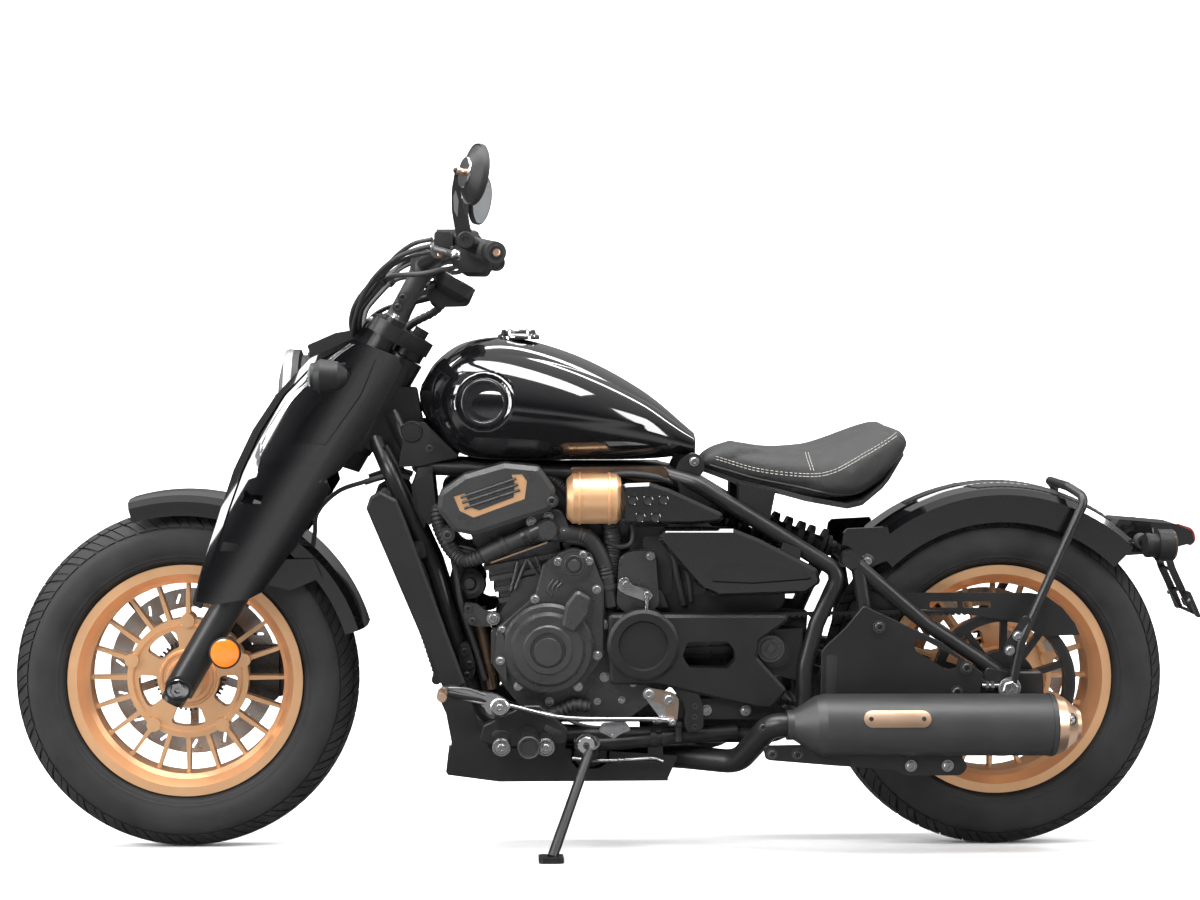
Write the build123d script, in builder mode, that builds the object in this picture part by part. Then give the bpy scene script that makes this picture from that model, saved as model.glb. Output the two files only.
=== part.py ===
from build123d import *
import os
from math import cos, radians, sin, tan

os.makedirs("parts", exist_ok=True)

# Cruiser motorcycle with a single seat, in millimetres.
# Every piece is drawn on the upright motorcycle: +X forward, +Y to its left, +Z up, the origin on
# the ground half way between the axles. save() then leans the piece over onto the side stand.

# ---------------------------------------------------------------- driving dimensions
WHEELBASE = 1522.0
LEAN = 8.0  # degrees to the left, on the side stand
SEAT_GAP = 0.3  # between a piece and what carries it

FRONT_TYRE_R = 320.2  # 130/90-16
FRONT_TYRE_W = 130.0
REAR_TYRE_R = 323.2  # 150/80-16
REAR_TYRE_W = 150.0
RIM_FLANGE_R = 217.0
RIM_SEAT_R = 204.0  # the tyre's bead sits here
RIM_FACE_R = 180.0  # inner edge of the rim, where the spokes end
FRONT_RIM_W = 96.0
REAR_RIM_W = 112.0
SPOKE_COUNT = 20
SPOKE_ROOT_W = 9.0
SPOKE_TIP_W = 6.0
SPOKE_HALF = 11.0  # half of a spoke's depth
HUB_PLATE_R = 113.0
PLATE_HALF = 12.0
HUB_R = 34.0
WINDOW_COUNT = 5  # kidney-shaped openings in the hub plate
WINDOW_ANGLE = 42.0
WINDOW_IN_R = 58.0
WINDOW_OUT_R = 92.0
AXLE_R = 12.0
AXLE_BORE_R = 7.0

RAKE = 30.0  # degrees from upright
FORK_OFFSET = 51.0  # steering axis to fork tubes
FORK_Y = 108.0  # fork tubes from the middle plane
TUBE_R = 21.5
SLIDER_R = 28.0
SLIDER_TOP = 330.0  # along the fork from the axle
LOWER_YOKE = 494.0
TOP_YOKE = 742.0
YOKE_THICK = 36.0
FORK_TOP = 772.0

DISC_R = 159.0
DISC_THICK = 5.0
DISC_SLOTS = 15
DISC_Y = -68.5  # both discs are on the right
PULLEY_R = 132.5
PULLEY_Y = 91.0  # the belt runs on the left
BELT_W = 20.0
BELT_THICK = 4.5
FRONT_PULLEY_R = 44.0

FRAME_R = 15.0
FRAME_Y = 100.0  # lower rails from the middle plane
SEAT_TUBE_Y = 124.0  # the bends behind the engine, outside the belt
DOWN_Y = 70.0
ARM_Y = 126.0  # swingarm from the middle plane
ARM_R = 13.5
STAND_PIVOT = Vector(10, 166, 222)
STAND_FOOT = Vector(84, 302, 50)  # the leg's end, just above the ground
STAND_FOLDED = Vector(-1, 0, 0.03)  # the leg's direction when it is folded away
STAND_AXIS = (STAND_FOOT - STAND_PIVOT).cross(STAND_FOLDED).normalized()
STAND_R = 9.5
STAND_PIN_R = 6.0

# ---------------------------------------------------------------- places that follow from them
FRONT = Vector(WHEELBASE / 2, 0, FRONT_TYRE_R)
REAR = Vector(-WHEELBASE / 2, 0, REAR_TYRE_R)
FORK_UP = Vector(-sin(radians(RAKE)), 0, cos(radians(RAKE)))
FORK_AHEAD = Vector(cos(radians(RAKE)), 0, sin(radians(RAKE)))
PIVOT = Vector(-330, 0, 385)  # swingarm pivot
FRONT_PULLEY = Vector(-84, 0, 403)
CRANK = Vector(90, 0, 395)
SHOCK_LUG = Vector(-466, 0, 560)


def on_fork(along, ahead=0.0, y=0.0):
    """A point by its distance along the fork from the axle and ahead of the fork's axis."""
    return FRONT + FORK_UP * along + FORK_AHEAD * ahead + Vector(0, y, 0)


def fork_plane(along, y=0.0):
    """A plane across the fork: local x is ahead, local y is to the left, the normal is up."""
    return Plane(origin=on_fork(along, 0, y), x_dir=FORK_AHEAD, z_dir=FORK_UP)


def side_plane(y):
    """A plane seen from the left: local x is forward, local y is up, the normal points inwards."""
    return Plane(origin=(0, y, 0), x_dir=(1, 0, 0), z_dir=(0, -1, 0))


def cross_plane(x):
    """A plane seen from the front: local x is to the left, local y is up."""
    return Plane(origin=(x, 0, 0), x_dir=(0, 1, 0), z_dir=(1, 0, 0))


# ---------------------------------------------------------------- shapes used many times
def slab(points, outer_y, inner_y, corner=0.0, mode=Mode.ADD, bevel=0.0):
    """A flat piece with a side outline of (x, z) points, between two distances from the middle.

    A bevel slopes the outer edge inwards by its own height.
    """
    with BuildSketch(side_plane(outer_y - bevel)) as face:
        with BuildLine():
            if corner:
                FilletPolyline(*points, radius=corner, close=True)
            else:
                Polyline(*points, close=True)
        make_face()
    extrude(face.sketch, amount=outer_y - bevel - inner_y, mode=mode)
    if bevel:
        extrude(face.sketch, amount=-bevel, taper=45, mode=mode)


def rod(start, end, radius, mode=Mode.ADD):
    """A straight round bar."""
    run = Vector(*end) - Vector(*start)
    with BuildSketch(Plane(origin=start, z_dir=run)) as section:
        Circle(radius)
    extrude(section.sketch, amount=run.length, mode=mode)


def cross_rod(x, z, radius, y0, y1, mode=Mode.ADD):
    """A straight round bar from side to side."""
    rod((x, y0, z), (x, y1, z), radius, mode)


def tube(route, radius, bend, mode=Mode.ADD):
    """A bent round tube: straight runs joined by tangent arcs."""
    with BuildLine() as path:
        FilletPolyline(*route, radius=bend)
    with BuildSketch(Plane(origin=path.line @ 0, z_dir=path.line % 0)) as section:
        Circle(radius)
    sweep(section.sketch, path=path.line, mode=mode)


def turned(profile, centre, mode=Mode.ADD, arc=360.0):
    """A closed (radius, y) profile turned about a crosswise axis."""
    with BuildSketch(Plane(origin=centre, x_dir=(1, 0, 0), z_dir=(0, 0, 1))) as half:
        with BuildLine():
            Polyline(*profile, close=True)
        make_face()
    revolve(half.sketch, axis=Axis(centre, (0, 1, 0)), revolution_arc=arc, mode=mode)


def turned_ahead(profile, centre):
    """A closed (ahead, radius) profile turned about an axis that points forward."""
    with BuildSketch(Plane(origin=centre, x_dir=(1, 0, 0), z_dir=(0, -1, 0))) as half:
        with BuildLine():
            Polyline(*profile, close=True)
        make_face()
    revolve(half.sketch, axis=Axis(centre, (1, 0, 0)))


def both_sides():
    """Add the mirror image on the motorcycle's other side."""
    mirror(about=Plane.XZ)


ORIGIN_SHIFT = Vector(30, -172, 0)  # puts the origin on the ground under the middle of the whole box


def save(piece, label):
    """Lean a finished piece onto the side stand and write it."""
    leaned = piece.part.moved(Location(ORIGIN_SHIFT, (-LEAN, 0, 0)))
    leaned.label = label
    export_step(leaned, f"parts/{label}.step")


# ---------------------------------------------------------------- wheels
def tyre(centre, radius, width, rim_width):
    """A hollow tyre with a rounded tread, seated in its rim."""
    bead_y = rim_width / 2 - 6
    half = width / 2
    wall = 9.0
    outer = [
        (RIM_SEAT_R + SEAT_GAP, bead_y),
        (RIM_FLANGE_R + 3, bead_y),
        (RIM_FLANGE_R + 8, half - 14),
        (RIM_FLANGE_R + 28, half - 2),
        (RIM_FLANGE_R + 45, half),
        (radius - 40, half - 3),
        (radius - 18, half - 16),
        (radius - 6, half - 34),
        (radius, 0),
    ]
    inner = [
        (radius - 14, 0),
        (radius - 24, half - 30),
        (radius - 48, half - wall - 3),
        (RIM_FLANGE_R + 40, half - wall),
        (RIM_FLANGE_R + 14, half - 22),
        (RIM_FLANGE_R, bead_y - wall),
        (RIM_SEAT_R + SEAT_GAP, bead_y - wall),
    ]
    right_outer = [(r, -y) for r, y in reversed(outer[:-1])]
    right_inner = [(r, -y) for r, y in reversed(inner)][:-1]
    turned(outer + right_outer + right_inner + inner, centre)


def rim(centre, rim_width):
    """The rim ring, its thin spokes, the hub plate with five windows, and the hub."""
    edge = rim_width / 2
    profile = [
        (RIM_FLANGE_R, edge),
        (RIM_FLANGE_R, edge - 5),
        (RIM_SEAT_R, edge - 5.5),
        (RIM_SEAT_R - 1, edge - 22),
        (RIM_FACE_R + 8, edge - 32),
        (RIM_FACE_R + 8, -edge + 32),
        (RIM_SEAT_R - 1, -edge + 22),
        (RIM_SEAT_R, -edge + 5.5),
        (RIM_FLANGE_R, -edge + 5),
        (RIM_FLANGE_R, -edge),
        (RIM_SEAT_R - 4, -edge),
        (RIM_FACE_R + 8, -edge + 18),
        (RIM_FACE_R, -edge + 26),
        (RIM_FACE_R, edge - 26),
        (RIM_FACE_R + 8, edge - 18),
        (RIM_SEAT_R - 4, edge),
    ]
    turned(profile, centre)
    plate = [
        (HUB_R, PLATE_HALF),
        (HUB_PLATE_R - 14, PLATE_HALF),
        (HUB_PLATE_R - 10, PLATE_HALF + 4),
        (HUB_PLATE_R, PLATE_HALF + 3),
    ]
    turned(plate + [(r, -y) for r, y in reversed(plate)], centre)
    with BuildSketch(Plane(origin=centre + Vector(0, SPOKE_HALF, 0), z_dir=(0, -1, 0))) as blades:
        with PolarLocations(0, SPOKE_COUNT):
            Polygon(
                (HUB_PLATE_R - 6, -SPOKE_ROOT_W / 2),
                (RIM_FACE_R + 4, -SPOKE_TIP_W / 2),
                (RIM_FACE_R + 4, SPOKE_TIP_W / 2),
                (HUB_PLATE_R - 6, SPOKE_ROOT_W / 2),
                align=None,
            )
    extrude(blades.sketch, amount=SPOKE_HALF * 2)
    with BuildSketch(Plane(origin=centre + Vector(0, 20, 0), z_dir=(0, -1, 0))) as lobes:
        with PolarLocations(HUB_PLATE_R - 4, WINDOW_COUNT, start_angle=180 / WINDOW_COUNT):
            Circle(13)
    extrude(lobes.sketch, amount=40)
    with BuildSketch(Plane(origin=centre + Vector(0, 20, 0), z_dir=(0, -1, 0))) as windows:
        for number in range(WINDOW_COUNT):
            middle = number * 360 / WINDOW_COUNT
            with BuildLine():
                outer = CenterArc((0, 0), WINDOW_OUT_R, middle - WINDOW_ANGLE / 2, WINDOW_ANGLE)
                inner = CenterArc((0, 0), WINDOW_IN_R, middle - WINDOW_ANGLE / 2, WINDOW_ANGLE)
                Line(outer @ 0, inner @ 0)
                Line(outer @ 1, inner @ 1)
            make_face()
        fillet(windows.vertices(), 8)
    extrude(windows.sketch, amount=40, mode=Mode.SUBTRACT)


with BuildPart() as front_tyre:
    tyre(FRONT, FRONT_TYRE_R, FRONT_TYRE_W, FRONT_RIM_W)
save(front_tyre, "front_tyre")

with BuildPart() as rear_tyre:
    tyre(REAR, REAR_TYRE_R, REAR_TYRE_W, REAR_RIM_W)
save(rear_tyre, "rear_tyre")

FRONT_HUB_Y = 58.0
REAR_HUB_Y = 62.0
CARRIER_R = 62.0

DISC_FACE = DISC_Y + DISC_THICK / 2  # the disc bolts on here
PULLEY_FACE = PULLEY_Y - BELT_W / 2 - 1
BORE_R = AXLE_R + SEAT_GAP


def ring(outer_r, inner_r, y0, y1, centre):
    """A plain ring about a wheel's axle."""
    turned([(outer_r, y0), (outer_r, y1), (inner_r, y1), (inner_r, y0)], centre)


with BuildPart() as front_rim:
    rim(FRONT, FRONT_RIM_W)
    ring(HUB_R, BORE_R, -FRONT_HUB_Y, FRONT_HUB_Y, FRONT)
    ring(CARRIER_R, BORE_R, -50, DISC_FACE, FRONT)
save(front_rim, "front_rim")

with BuildPart() as rear_rim:
    rim(REAR, REAR_RIM_W)
    ring(HUB_R, BORE_R, -REAR_HUB_Y, REAR_HUB_Y, REAR)
    ring(CARRIER_R, BORE_R, -50, DISC_FACE, REAR)
    ring(CARRIER_R, BORE_R, 50, PULLEY_FACE, REAR)
save(rear_rim, "rear_rim")


def disc(centre):
    """A brake disc on a five-armed carrier."""
    left = DISC_FACE
    right = DISC_FACE - DISC_THICK
    ring(DISC_R, DISC_R - 36, left, right, centre)
    ring(CARRIER_R, 40, left, right, centre)
    with BuildSketch(Plane(origin=centre + Vector(0, left, 0), z_dir=(0, -1, 0))) as arms:
        with PolarLocations((DISC_R - 32 + CARRIER_R) / 2, 5):
            Rectangle(DISC_R - 26 - CARRIER_R, 16)
    extrude(arms.sketch, amount=DISC_THICK)
    with BuildSketch(Plane(origin=centre + Vector(0, left, 0), z_dir=(0, -1, 0))) as slots:
        with PolarLocations(DISC_R - 18, DISC_SLOTS):
            SlotOverall(20, 5, rotation=30)
    extrude(slots.sketch, amount=DISC_THICK, mode=Mode.SUBTRACT)


with BuildPart() as front_disc:
    disc(FRONT)
save(front_disc, "front_disc")

with BuildPart() as rear_disc:
    disc(REAR)
save(rear_disc, "rear_disc")

with BuildPart() as rear_pulley:
    ring(PULLEY_R, PULLEY_R - 16, PULLEY_FACE, PULLEY_Y + BELT_W / 2 + 1, REAR)
    ring(CARRIER_R, 30, PULLEY_FACE, PULLEY_Y + 10, REAR)
    with BuildSketch(Plane(origin=REAR + Vector(0, PULLEY_Y + 10, 0), z_dir=(0, -1, 0))) as arms:
        with PolarLocations((PULLEY_R + CARRIER_R) / 2 - 6, 10):
            Rectangle(PULLEY_R - CARRIER_R, 12)
    extrude(arms.sketch, amount=14)
save(rear_pulley, "rear_pulley")

# ---------------------------------------------------------------- fork, which steers
STEM_R = 14.0
HEAD_R = 34.0  # headstock outside
HEAD_BORE_R = 20.0
LOWER_YOKE_TOP = LOWER_YOKE + YOKE_THICK
BAR_R = 12.7
RISER_R = 17.0
LAMP_X = 548.0
LAMP_Z = 850.0
LAMP_R = 86.0


def yoke(along, thickness):
    """A plate that joins both fork tubes to the steering axis, drilled for the tubes."""
    with BuildSketch(fork_plane(along)) as outline:
        with Locations((0, FORK_Y), (0, -FORK_Y)):
            Circle(TUBE_R + 13)
        with Locations((-FORK_OFFSET, 0)):
            Circle(HEAD_R - 2)
        make_hull()
    extrude(outline.sketch, amount=thickness)
    with BuildSketch(fork_plane(along)) as bores:
        with Locations((0, FORK_Y), (0, -FORK_Y)):
            Circle(TUBE_R + SEAT_GAP)
    extrude(bores.sketch, amount=thickness, mode=Mode.SUBTRACT)


with BuildPart() as yokes:
    yoke(LOWER_YOKE, YOKE_THICK)
    rod((LAMP_X - 90, 0, LAMP_Z), (LAMP_X + 90, 0, LAMP_Z), LAMP_R + 6, Mode.SUBTRACT)
    yoke(TOP_YOKE, YOKE_THICK - 8)
    rod(on_fork(LOWER_YOKE + 10, -FORK_OFFSET), on_fork(TOP_YOKE + 44, -FORK_OFFSET), STEM_R)
    rod(on_fork(TOP_YOKE - 16, -FORK_OFFSET), on_fork(TOP_YOKE + 4, -FORK_OFFSET), HEAD_R - 6)
save(yokes, "yokes")

with BuildPart() as fork_tubes:
    rod(on_fork(SLIDER_TOP - 120, 0, FORK_Y), on_fork(FORK_TOP, 0, FORK_Y), TUBE_R)
    rod(on_fork(FORK_TOP, 0, FORK_Y), on_fork(FORK_TOP + 8, 0, FORK_Y), TUBE_R - 5)
    both_sides()
save(fork_tubes, "fork_tubes")

SLIDER_LUG_R = 24.0
AXLE_END_Y = FORK_Y + SLIDER_R + 4

with BuildPart() as fork_sliders:
    rod(on_fork(-8, 0, FORK_Y), on_fork(SLIDER_TOP, 0, FORK_Y), SLIDER_R)
    cross_rod(FRONT.X, FRONT.Z, SLIDER_LUG_R, FORK_Y - SLIDER_R + 2, FORK_Y + SLIDER_R + 2)
    rod(on_fork(-32, 0, FORK_Y), on_fork(0, 0, FORK_Y), SLIDER_LUG_R - 2)
    socket = [on_fork(along, 0, FORK_Y) for along in (SLIDER_TOP - 121, SLIDER_TOP)]
    rod(*socket, TUBE_R + SEAT_GAP, Mode.SUBTRACT)
    both_sides()
    cross_rod(FRONT.X, FRONT.Z, AXLE_R, -AXLE_END_Y, AXLE_END_Y)
    cross_rod(FRONT.X, FRONT.Z, AXLE_BORE_R, -AXLE_END_Y, AXLE_END_Y, Mode.SUBTRACT)
save(fork_sliders, "fork_sliders")

# Side outline of a fork cover, as (along, ahead) from the fork's axis.
COVER_OUTLINE = [
    (158, 52),
    (224, 75),
    (330, 99),
    (395, 114),
    (474, 121),
    (551, 116),
    (642, 94),
    (712, 44),
    (724, -38),
    (712, -56),
    (579, -64),
    (492, -54),
    (467, -40),
    (452, -56),
    (345, -54),
    (228, -41),
    (208, -28),
    (169, 22),
]
COVER_WALL = 5.0
SIGNAL_Y = 205.0
SIGNAL_X = 490.0
SIGNAL_Z = 893.0
SIGNAL_STEM_R = 7.0

# Raised shield on the upper half of a fork cover, and the hollow in it.
SHIELD_OUTLINE = [
    (433, 78),
    (467, 97),
    (562, 92),
    (632, 72),
    (704, 42),
    (718, 4),
    (711, -20),
    (631, -28),
    (521, -20),
    (503, -27),
    (457, 32),
]
HOLLOW_OUTLINE = [
    (497, 45),
    (528, 50),
    (579, 42),
    (632, 29),
    (690, 22),
    (700, -10),
    (631, -19),
    (522, -9),
]
# Ridge along the cover's front edge, and the two notches behind it.
RIDGE_OUTLINE = [
    (226, 74),
    (330, 99),
    (395, 114),
    (474, 121),
    (551, 116),
    (642, 94),
    (706, 50),
    (690, 52),
    (636, 84),
    (560, 103),
    (478, 107),
    (400, 99),
    (330, 85),
    (226, 62),
]
NOTCHES = [
    [(379, 76), (375, 64), (386, 43), (370, 39), (352, 72)],
    [(276, 64), (289, 34), (275, 32), (259, 60)],
]
COVER_BULGE = 150.0  # the skin's furthest point from the middle
SHIELD_RISE = 6.0
RIDGE_RISE = 4.0
HOLLOW_DEPTH = 4.0


def fork_outline(points, outer_y, inner_y, mode=Mode.ADD):
    """A slab whose outline is given along and ahead of the fork's axis."""
    slab([(on_fork(a, s).X, on_fork(a, s).Z) for a, s in points], outer_y, inner_y, mode=mode)


def cover_skin(rise, wall):
    """Keep what lies in the curved skin of a fork cover, raised from its own place."""
    with BuildSketch(fork_plane(120)) as skin:
        with BuildLine():
            ThreePointArc((135, 84 + rise), (35, COVER_BULGE + rise), (-70, 112 + rise))
            Line((-70, 112 + rise), (-70 - wall, 109 + rise))
            Line((-70 - wall, 109 + rise), (-70, 112 + rise - wall))
            ThreePointArc((-70, 112 + rise - wall), (35, COVER_BULGE + rise - wall), (130, 84 + rise - wall))
            Line((130, 84 + rise - wall), (135, 84 + rise))
        make_face()
    extrude(skin.sketch, amount=700, mode=Mode.INTERSECT)


with BuildPart() as cover_shield:
    fork_outline(SHIELD_OUTLINE, 175, 65)
    cover_skin(SHIELD_RISE, COVER_WALL + SHIELD_RISE)

with BuildPart() as cover_hollow:
    fork_outline(HOLLOW_OUTLINE, 175, 65)
    cover_skin(SHIELD_RISE + 2, HOLLOW_DEPTH + 2)

with BuildPart() as cover_ridge:
    fork_outline(RIDGE_OUTLINE, 175, 65)
    cover_skin(RIDGE_RISE, COVER_WALL + RIDGE_RISE)

with BuildPart() as fork_covers:
    fork_outline(COVER_OUTLINE, 175, 65)
    cover_skin(0, COVER_WALL)
    add(cover_shield.part)
    add(cover_ridge.part)
    add(cover_hollow.part, mode=Mode.SUBTRACT)
    for notch in NOTCHES:
        fork_outline(notch, 175, 65, Mode.SUBTRACT)
    for along in (LOWER_YOKE - 60, TOP_YOKE - 60):
        with BuildSketch(fork_plane(along)) as rib:
            with BuildLine():
                Polyline((-20, FORK_Y + 10), (20, FORK_Y + 10), (20, 147), (-20, 138), close=True)
            make_face()
        extrude(rib.sketch, amount=18)
    rod(on_fork(150, 0, FORK_Y), on_fork(SLIDER_TOP + 8, 0, FORK_Y), SLIDER_R + SEAT_GAP, Mode.SUBTRACT)
    rod(on_fork(150, 0, FORK_Y), on_fork(FORK_TOP, 0, FORK_Y), TUBE_R + SEAT_GAP, Mode.SUBTRACT)
    cross_rod(455, 893, SIGNAL_STEM_R + SEAT_GAP, FORK_Y, SIGNAL_Y, Mode.SUBTRACT)
    both_sides()
save(fork_covers, "fork_covers")

# Lens, bezel, two cooling fins and the bowl's back, as (ahead, radius) from the lamp's middle.
LAMP_PROFILE = [
    (30, 0),
    (28, 40),
    (23, 70),
    (20, 72),
    (24, LAMP_R - 8),
    (22, LAMP_R),
    (2, LAMP_R),
    (-2, LAMP_R - 10),
    (-10, LAMP_R - 10),
    (-12, LAMP_R - 4),
    (-17, LAMP_R - 4),
    (-19, LAMP_R - 13),
    (-26, LAMP_R - 15),
    (-28, LAMP_R - 9),
    (-33, LAMP_R - 9),
    (-35, LAMP_R - 18),
    (-62, 56),
    (-78, 30),
    (-80, 0),
]

with BuildPart() as headlamp:
    turned_ahead(LAMP_PROFILE, Vector(LAMP_X, 0, LAMP_Z))
    yoke_face = TOP_YOKE - SEAT_GAP
    carrier = [on_fork(yoke_face, -6), on_fork(yoke_face, 34)]
    nacelle = [(484, 968), (536, 945), (520, 900), (520, 850), (470, 850), (440, 880)]
    slab([(point.X, point.Z) for point in carrier] + nacelle, 40, -40, 4)
save(headlamp, "headlamp")

SIGNAL_PROFILE = [(24, 0), (22, 22), (8, 31), (-24, 26), (-40, 12), (-40, 0)]

with BuildPart() as front_signals:
    cross_rod(455, 893, SIGNAL_STEM_R, FORK_Y + 26, SIGNAL_Y)
    turned_ahead(SIGNAL_PROFILE, Vector(SIGNAL_X, SIGNAL_Y, SIGNAL_Z))
    both_sides()
save(front_signals, "front_signals")

# Handlebar: centre bar, bends, and the grip's end, on the left side.
BAR_ROUTE = [(318, 0, 1097), (318, 105, 1097), (262, 215, 1122), (231, 290, 1122), (194, 402, 1111)]
BAR_BEND = 40.0
YOKE_TOP = TOP_YOKE + YOKE_THICK - 8
RISER_Y = 60.0
RISER_FOOT = on_fork(YOKE_TOP + SEAT_GAP, 0, RISER_Y)

with BuildPart() as handlebar:
    tube(BAR_ROUTE, BAR_R, BAR_BEND)
    rod(RISER_FOOT, RISER_FOOT + FORK_UP * 8, RISER_R + 4)
    rod(RISER_FOOT + FORK_UP * 8, (BAR_ROUTE[0][0], RISER_Y, BAR_ROUTE[0][2]), RISER_R)
    cross_rod(BAR_ROUTE[0][0], BAR_ROUTE[0][2], BAR_R + 9, RISER_Y - 18, RISER_Y + 18)
    both_sides()
save(handlebar, "handlebar")

GRIP_START = Vector(231, 290, 1122)
GRIP_END = Vector(194, 402, 1111)
GRIP_RUN = (GRIP_END - GRIP_START).normalized()
GRIP_R = 17.0
CONTROL_R = 25.0
LEVER_R = 6.0
LEVER_BEND = 18.0
LEVER_ROUTE = [
    GRIP_START - GRIP_RUN * 55 + Vector(12, 0, 0),
    GRIP_START - GRIP_RUN * 50 + Vector(48, 0, 0),
    GRIP_START + GRIP_RUN * 20 + Vector(66, 0, -4),
    GRIP_END + Vector(62, 6, -6),
]

with BuildPart() as bar_controls:
    rod(GRIP_START, GRIP_END + GRIP_RUN * 4, GRIP_R)
    rod(GRIP_END + GRIP_RUN * 4, GRIP_END + GRIP_RUN * 24, GRIP_R + 1)
    rod(GRIP_START - GRIP_RUN * 44, GRIP_START - GRIP_RUN * 1, CONTROL_R)
    rod(GRIP_START - GRIP_RUN * 66, GRIP_START - GRIP_RUN * 44, 20)
    tube(LEVER_ROUTE, LEVER_R, LEVER_BEND)
    tube(BAR_ROUTE, BAR_R + SEAT_GAP, BAR_BEND, Mode.SUBTRACT)
    both_sides()
save(bar_controls, "bar_controls")

MIRROR = Vector(218, 432, 1240)
MIRROR_R = 52.0

with BuildPart() as mirrors:
    with BuildSketch(Plane(origin=MIRROR, x_dir=(0, 1, 0), z_dir=(-0.97, -0.12, -0.2))) as glass:
        Circle(MIRROR_R)
    extrude(glass.sketch, amount=9)
    with BuildSketch(Plane(origin=MIRROR, x_dir=(0, 1, 0), z_dir=(0.97, 0.12, 0.2))) as shell:
        Circle(MIRROR_R)
    extrude(shell.sketch, amount=16, taper=42)
    mirror_foot = GRIP_START - GRIP_RUN * 22 + Vector(0, 0, 12)
    mirror_arm = [MIRROR + Vector(8, -4, 2), (254, 424, 1246), (258, 380, 1190)]
    tube(mirror_arm + [mirror_foot + Vector(0, 0, 46), mirror_foot], 6, 14)
    rod(GRIP_START - GRIP_RUN * 60, GRIP_START, CONTROL_R + SEAT_GAP, Mode.SUBTRACT)
    both_sides()
save(mirrors, "mirrors")

with BuildPart() as gauge:
    with BuildSketch(Plane(origin=(270, 0, 1050), x_dir=(0, 1, 0), z_dir=FORK_UP)) as pod:
        RectangleRounded(116, 78, 30)
    extrude(pod.sketch, amount=22)
    extrude(pod.sketch, amount=-14, taper=40)
    dial_centre = Vector(270, 0, 1050) + FORK_UP * 20
    with BuildSketch(Plane(origin=dial_centre, x_dir=(0, 1, 0), z_dir=FORK_UP)) as dial:
        RectangleRounded(104, 66, 26)
    extrude(dial.sketch, amount=4, mode=Mode.SUBTRACT)
    gauge_foot = on_fork(YOKE_TOP + SEAT_GAP, -8)
    tube([(272, 0, 1044), gauge_foot + FORK_UP * 50, gauge_foot], 7, 20)
save(gauge, "gauge")

FENDER_ARC = 90.0
FRONT_FENDER_R = 353.0
FRONT_SKIRT_R = 311.0
FRONT_FENDER_HALF = 76.0


def fender(centre, crown, skirt, half, wall, first, sweep_angle):
    """A shell over a tyre: a crowned top with rounded shoulders and flat skirts."""
    shoulder = crown - 16
    profile = [
        (skirt, half),
        (shoulder, half),
        (crown - 5, half - 16),
        (crown, half - 44),
        (crown, -half + 44),
        (crown - 5, -half + 16),
        (shoulder, -half),
        (skirt, -half),
        (skirt, -half + wall),
        (shoulder - 1, -half + wall),
        (crown - 5 - wall, -half + 17),
        (crown - wall, -half + 45),
        (crown - wall, half - 45),
        (crown - 5 - wall, half - 17),
        (shoulder - 1, half - wall),
        (skirt, half - wall),
    ]
    swept(profile, centre, first, sweep_angle)


def swept(profile, centre, first, sweep_angle):
    """Turn a closed (radius, y) profile through part of a turn, from an angle above forward."""
    out = (cos(radians(first)), 0, sin(radians(first)))
    on = (-sin(radians(first)), 0, cos(radians(first)))
    with BuildSketch(Plane(origin=centre, x_dir=out, z_dir=on)) as section:
        with BuildLine():
            Polyline(*profile, close=True)
        make_face()
    revolve(section.sketch, axis=Axis(centre, (0, -1, 0)), revolution_arc=sweep_angle)


with BuildPart() as front_fender:
    fender(FRONT, FRONT_FENDER_R, FRONT_SKIRT_R, FRONT_FENDER_HALF, 3.5, 73, FENDER_ARC)
    stay = [on_fork(a, s) for a, s in ((228, -8), (272, -8), (322, -92), (300, -122), (250, -84))]
    slab([(point.X, point.Z) for point in stay], 84, FRONT_FENDER_HALF - 3)
    rod(on_fork(150, 0, FORK_Y), on_fork(SLIDER_TOP, 0, FORK_Y), SLIDER_R + SEAT_GAP, Mode.SUBTRACT)
    both_sides()
    turned([(FRONT_TYRE_R + 9, 72), (FRONT_TYRE_R + 9, -72), (150, -72), (150, 72)], FRONT, Mode.SUBTRACT)
save(front_fender, "front_fender")

DISC_SLOT = DISC_THICK + 10


def clear_of_disc(centre, inner_r):
    """Cut the room that the brake disc turns in out of the piece."""
    left = DISC_Y + 9
    right = DISC_Y - 9
    outer_r = DISC_R + 6
    turned([(outer_r, left), (outer_r, right), (inner_r, right), (inner_r, left)], centre, Mode.SUBTRACT)


with BuildPart() as front_caliper:
    with BuildSketch(side_plane(-48)) as caliper_side:
        with Locations((FRONT.X - 132, FRONT.Z - 4)):
            RectangleRounded(62, 104, 14)
    extrude(caliper_side.sketch, amount=50)
    gap = [(FRONT.X - 172, FRONT.Z - 70), (FRONT.X - 60, FRONT.Z - 70)]
    gap += [(FRONT.X - 60, FRONT.Z + 70), (FRONT.X - 172, FRONT.Z + 70)]
    slab(gap, DISC_Y + DISC_SLOT / 2, DISC_Y - DISC_SLOT / 2, mode=Mode.SUBTRACT)
    slab([(610, 268), (612, 372), (562, 360), (562, 280)], DISC_Y + DISC_SLOT / 2, DISC_Y - DISC_SLOT / 2)
    clear_of_disc(FRONT, 60)
    slab([(655, 300), (695, 330), (690, 425), (655, 370)], -84, -100)
    rod(on_fork(-10, 0, -FORK_Y), on_fork(SLIDER_TOP, 0, -FORK_Y), SLIDER_R + SEAT_GAP, Mode.SUBTRACT)
save(front_caliper, "front_caliper")

CABLE_R = 4.5
CABLE_START = LEVER_ROUTE[1] + Vector(-6, 4.3, -0.4)  # in the middle of the lever's bend

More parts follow.
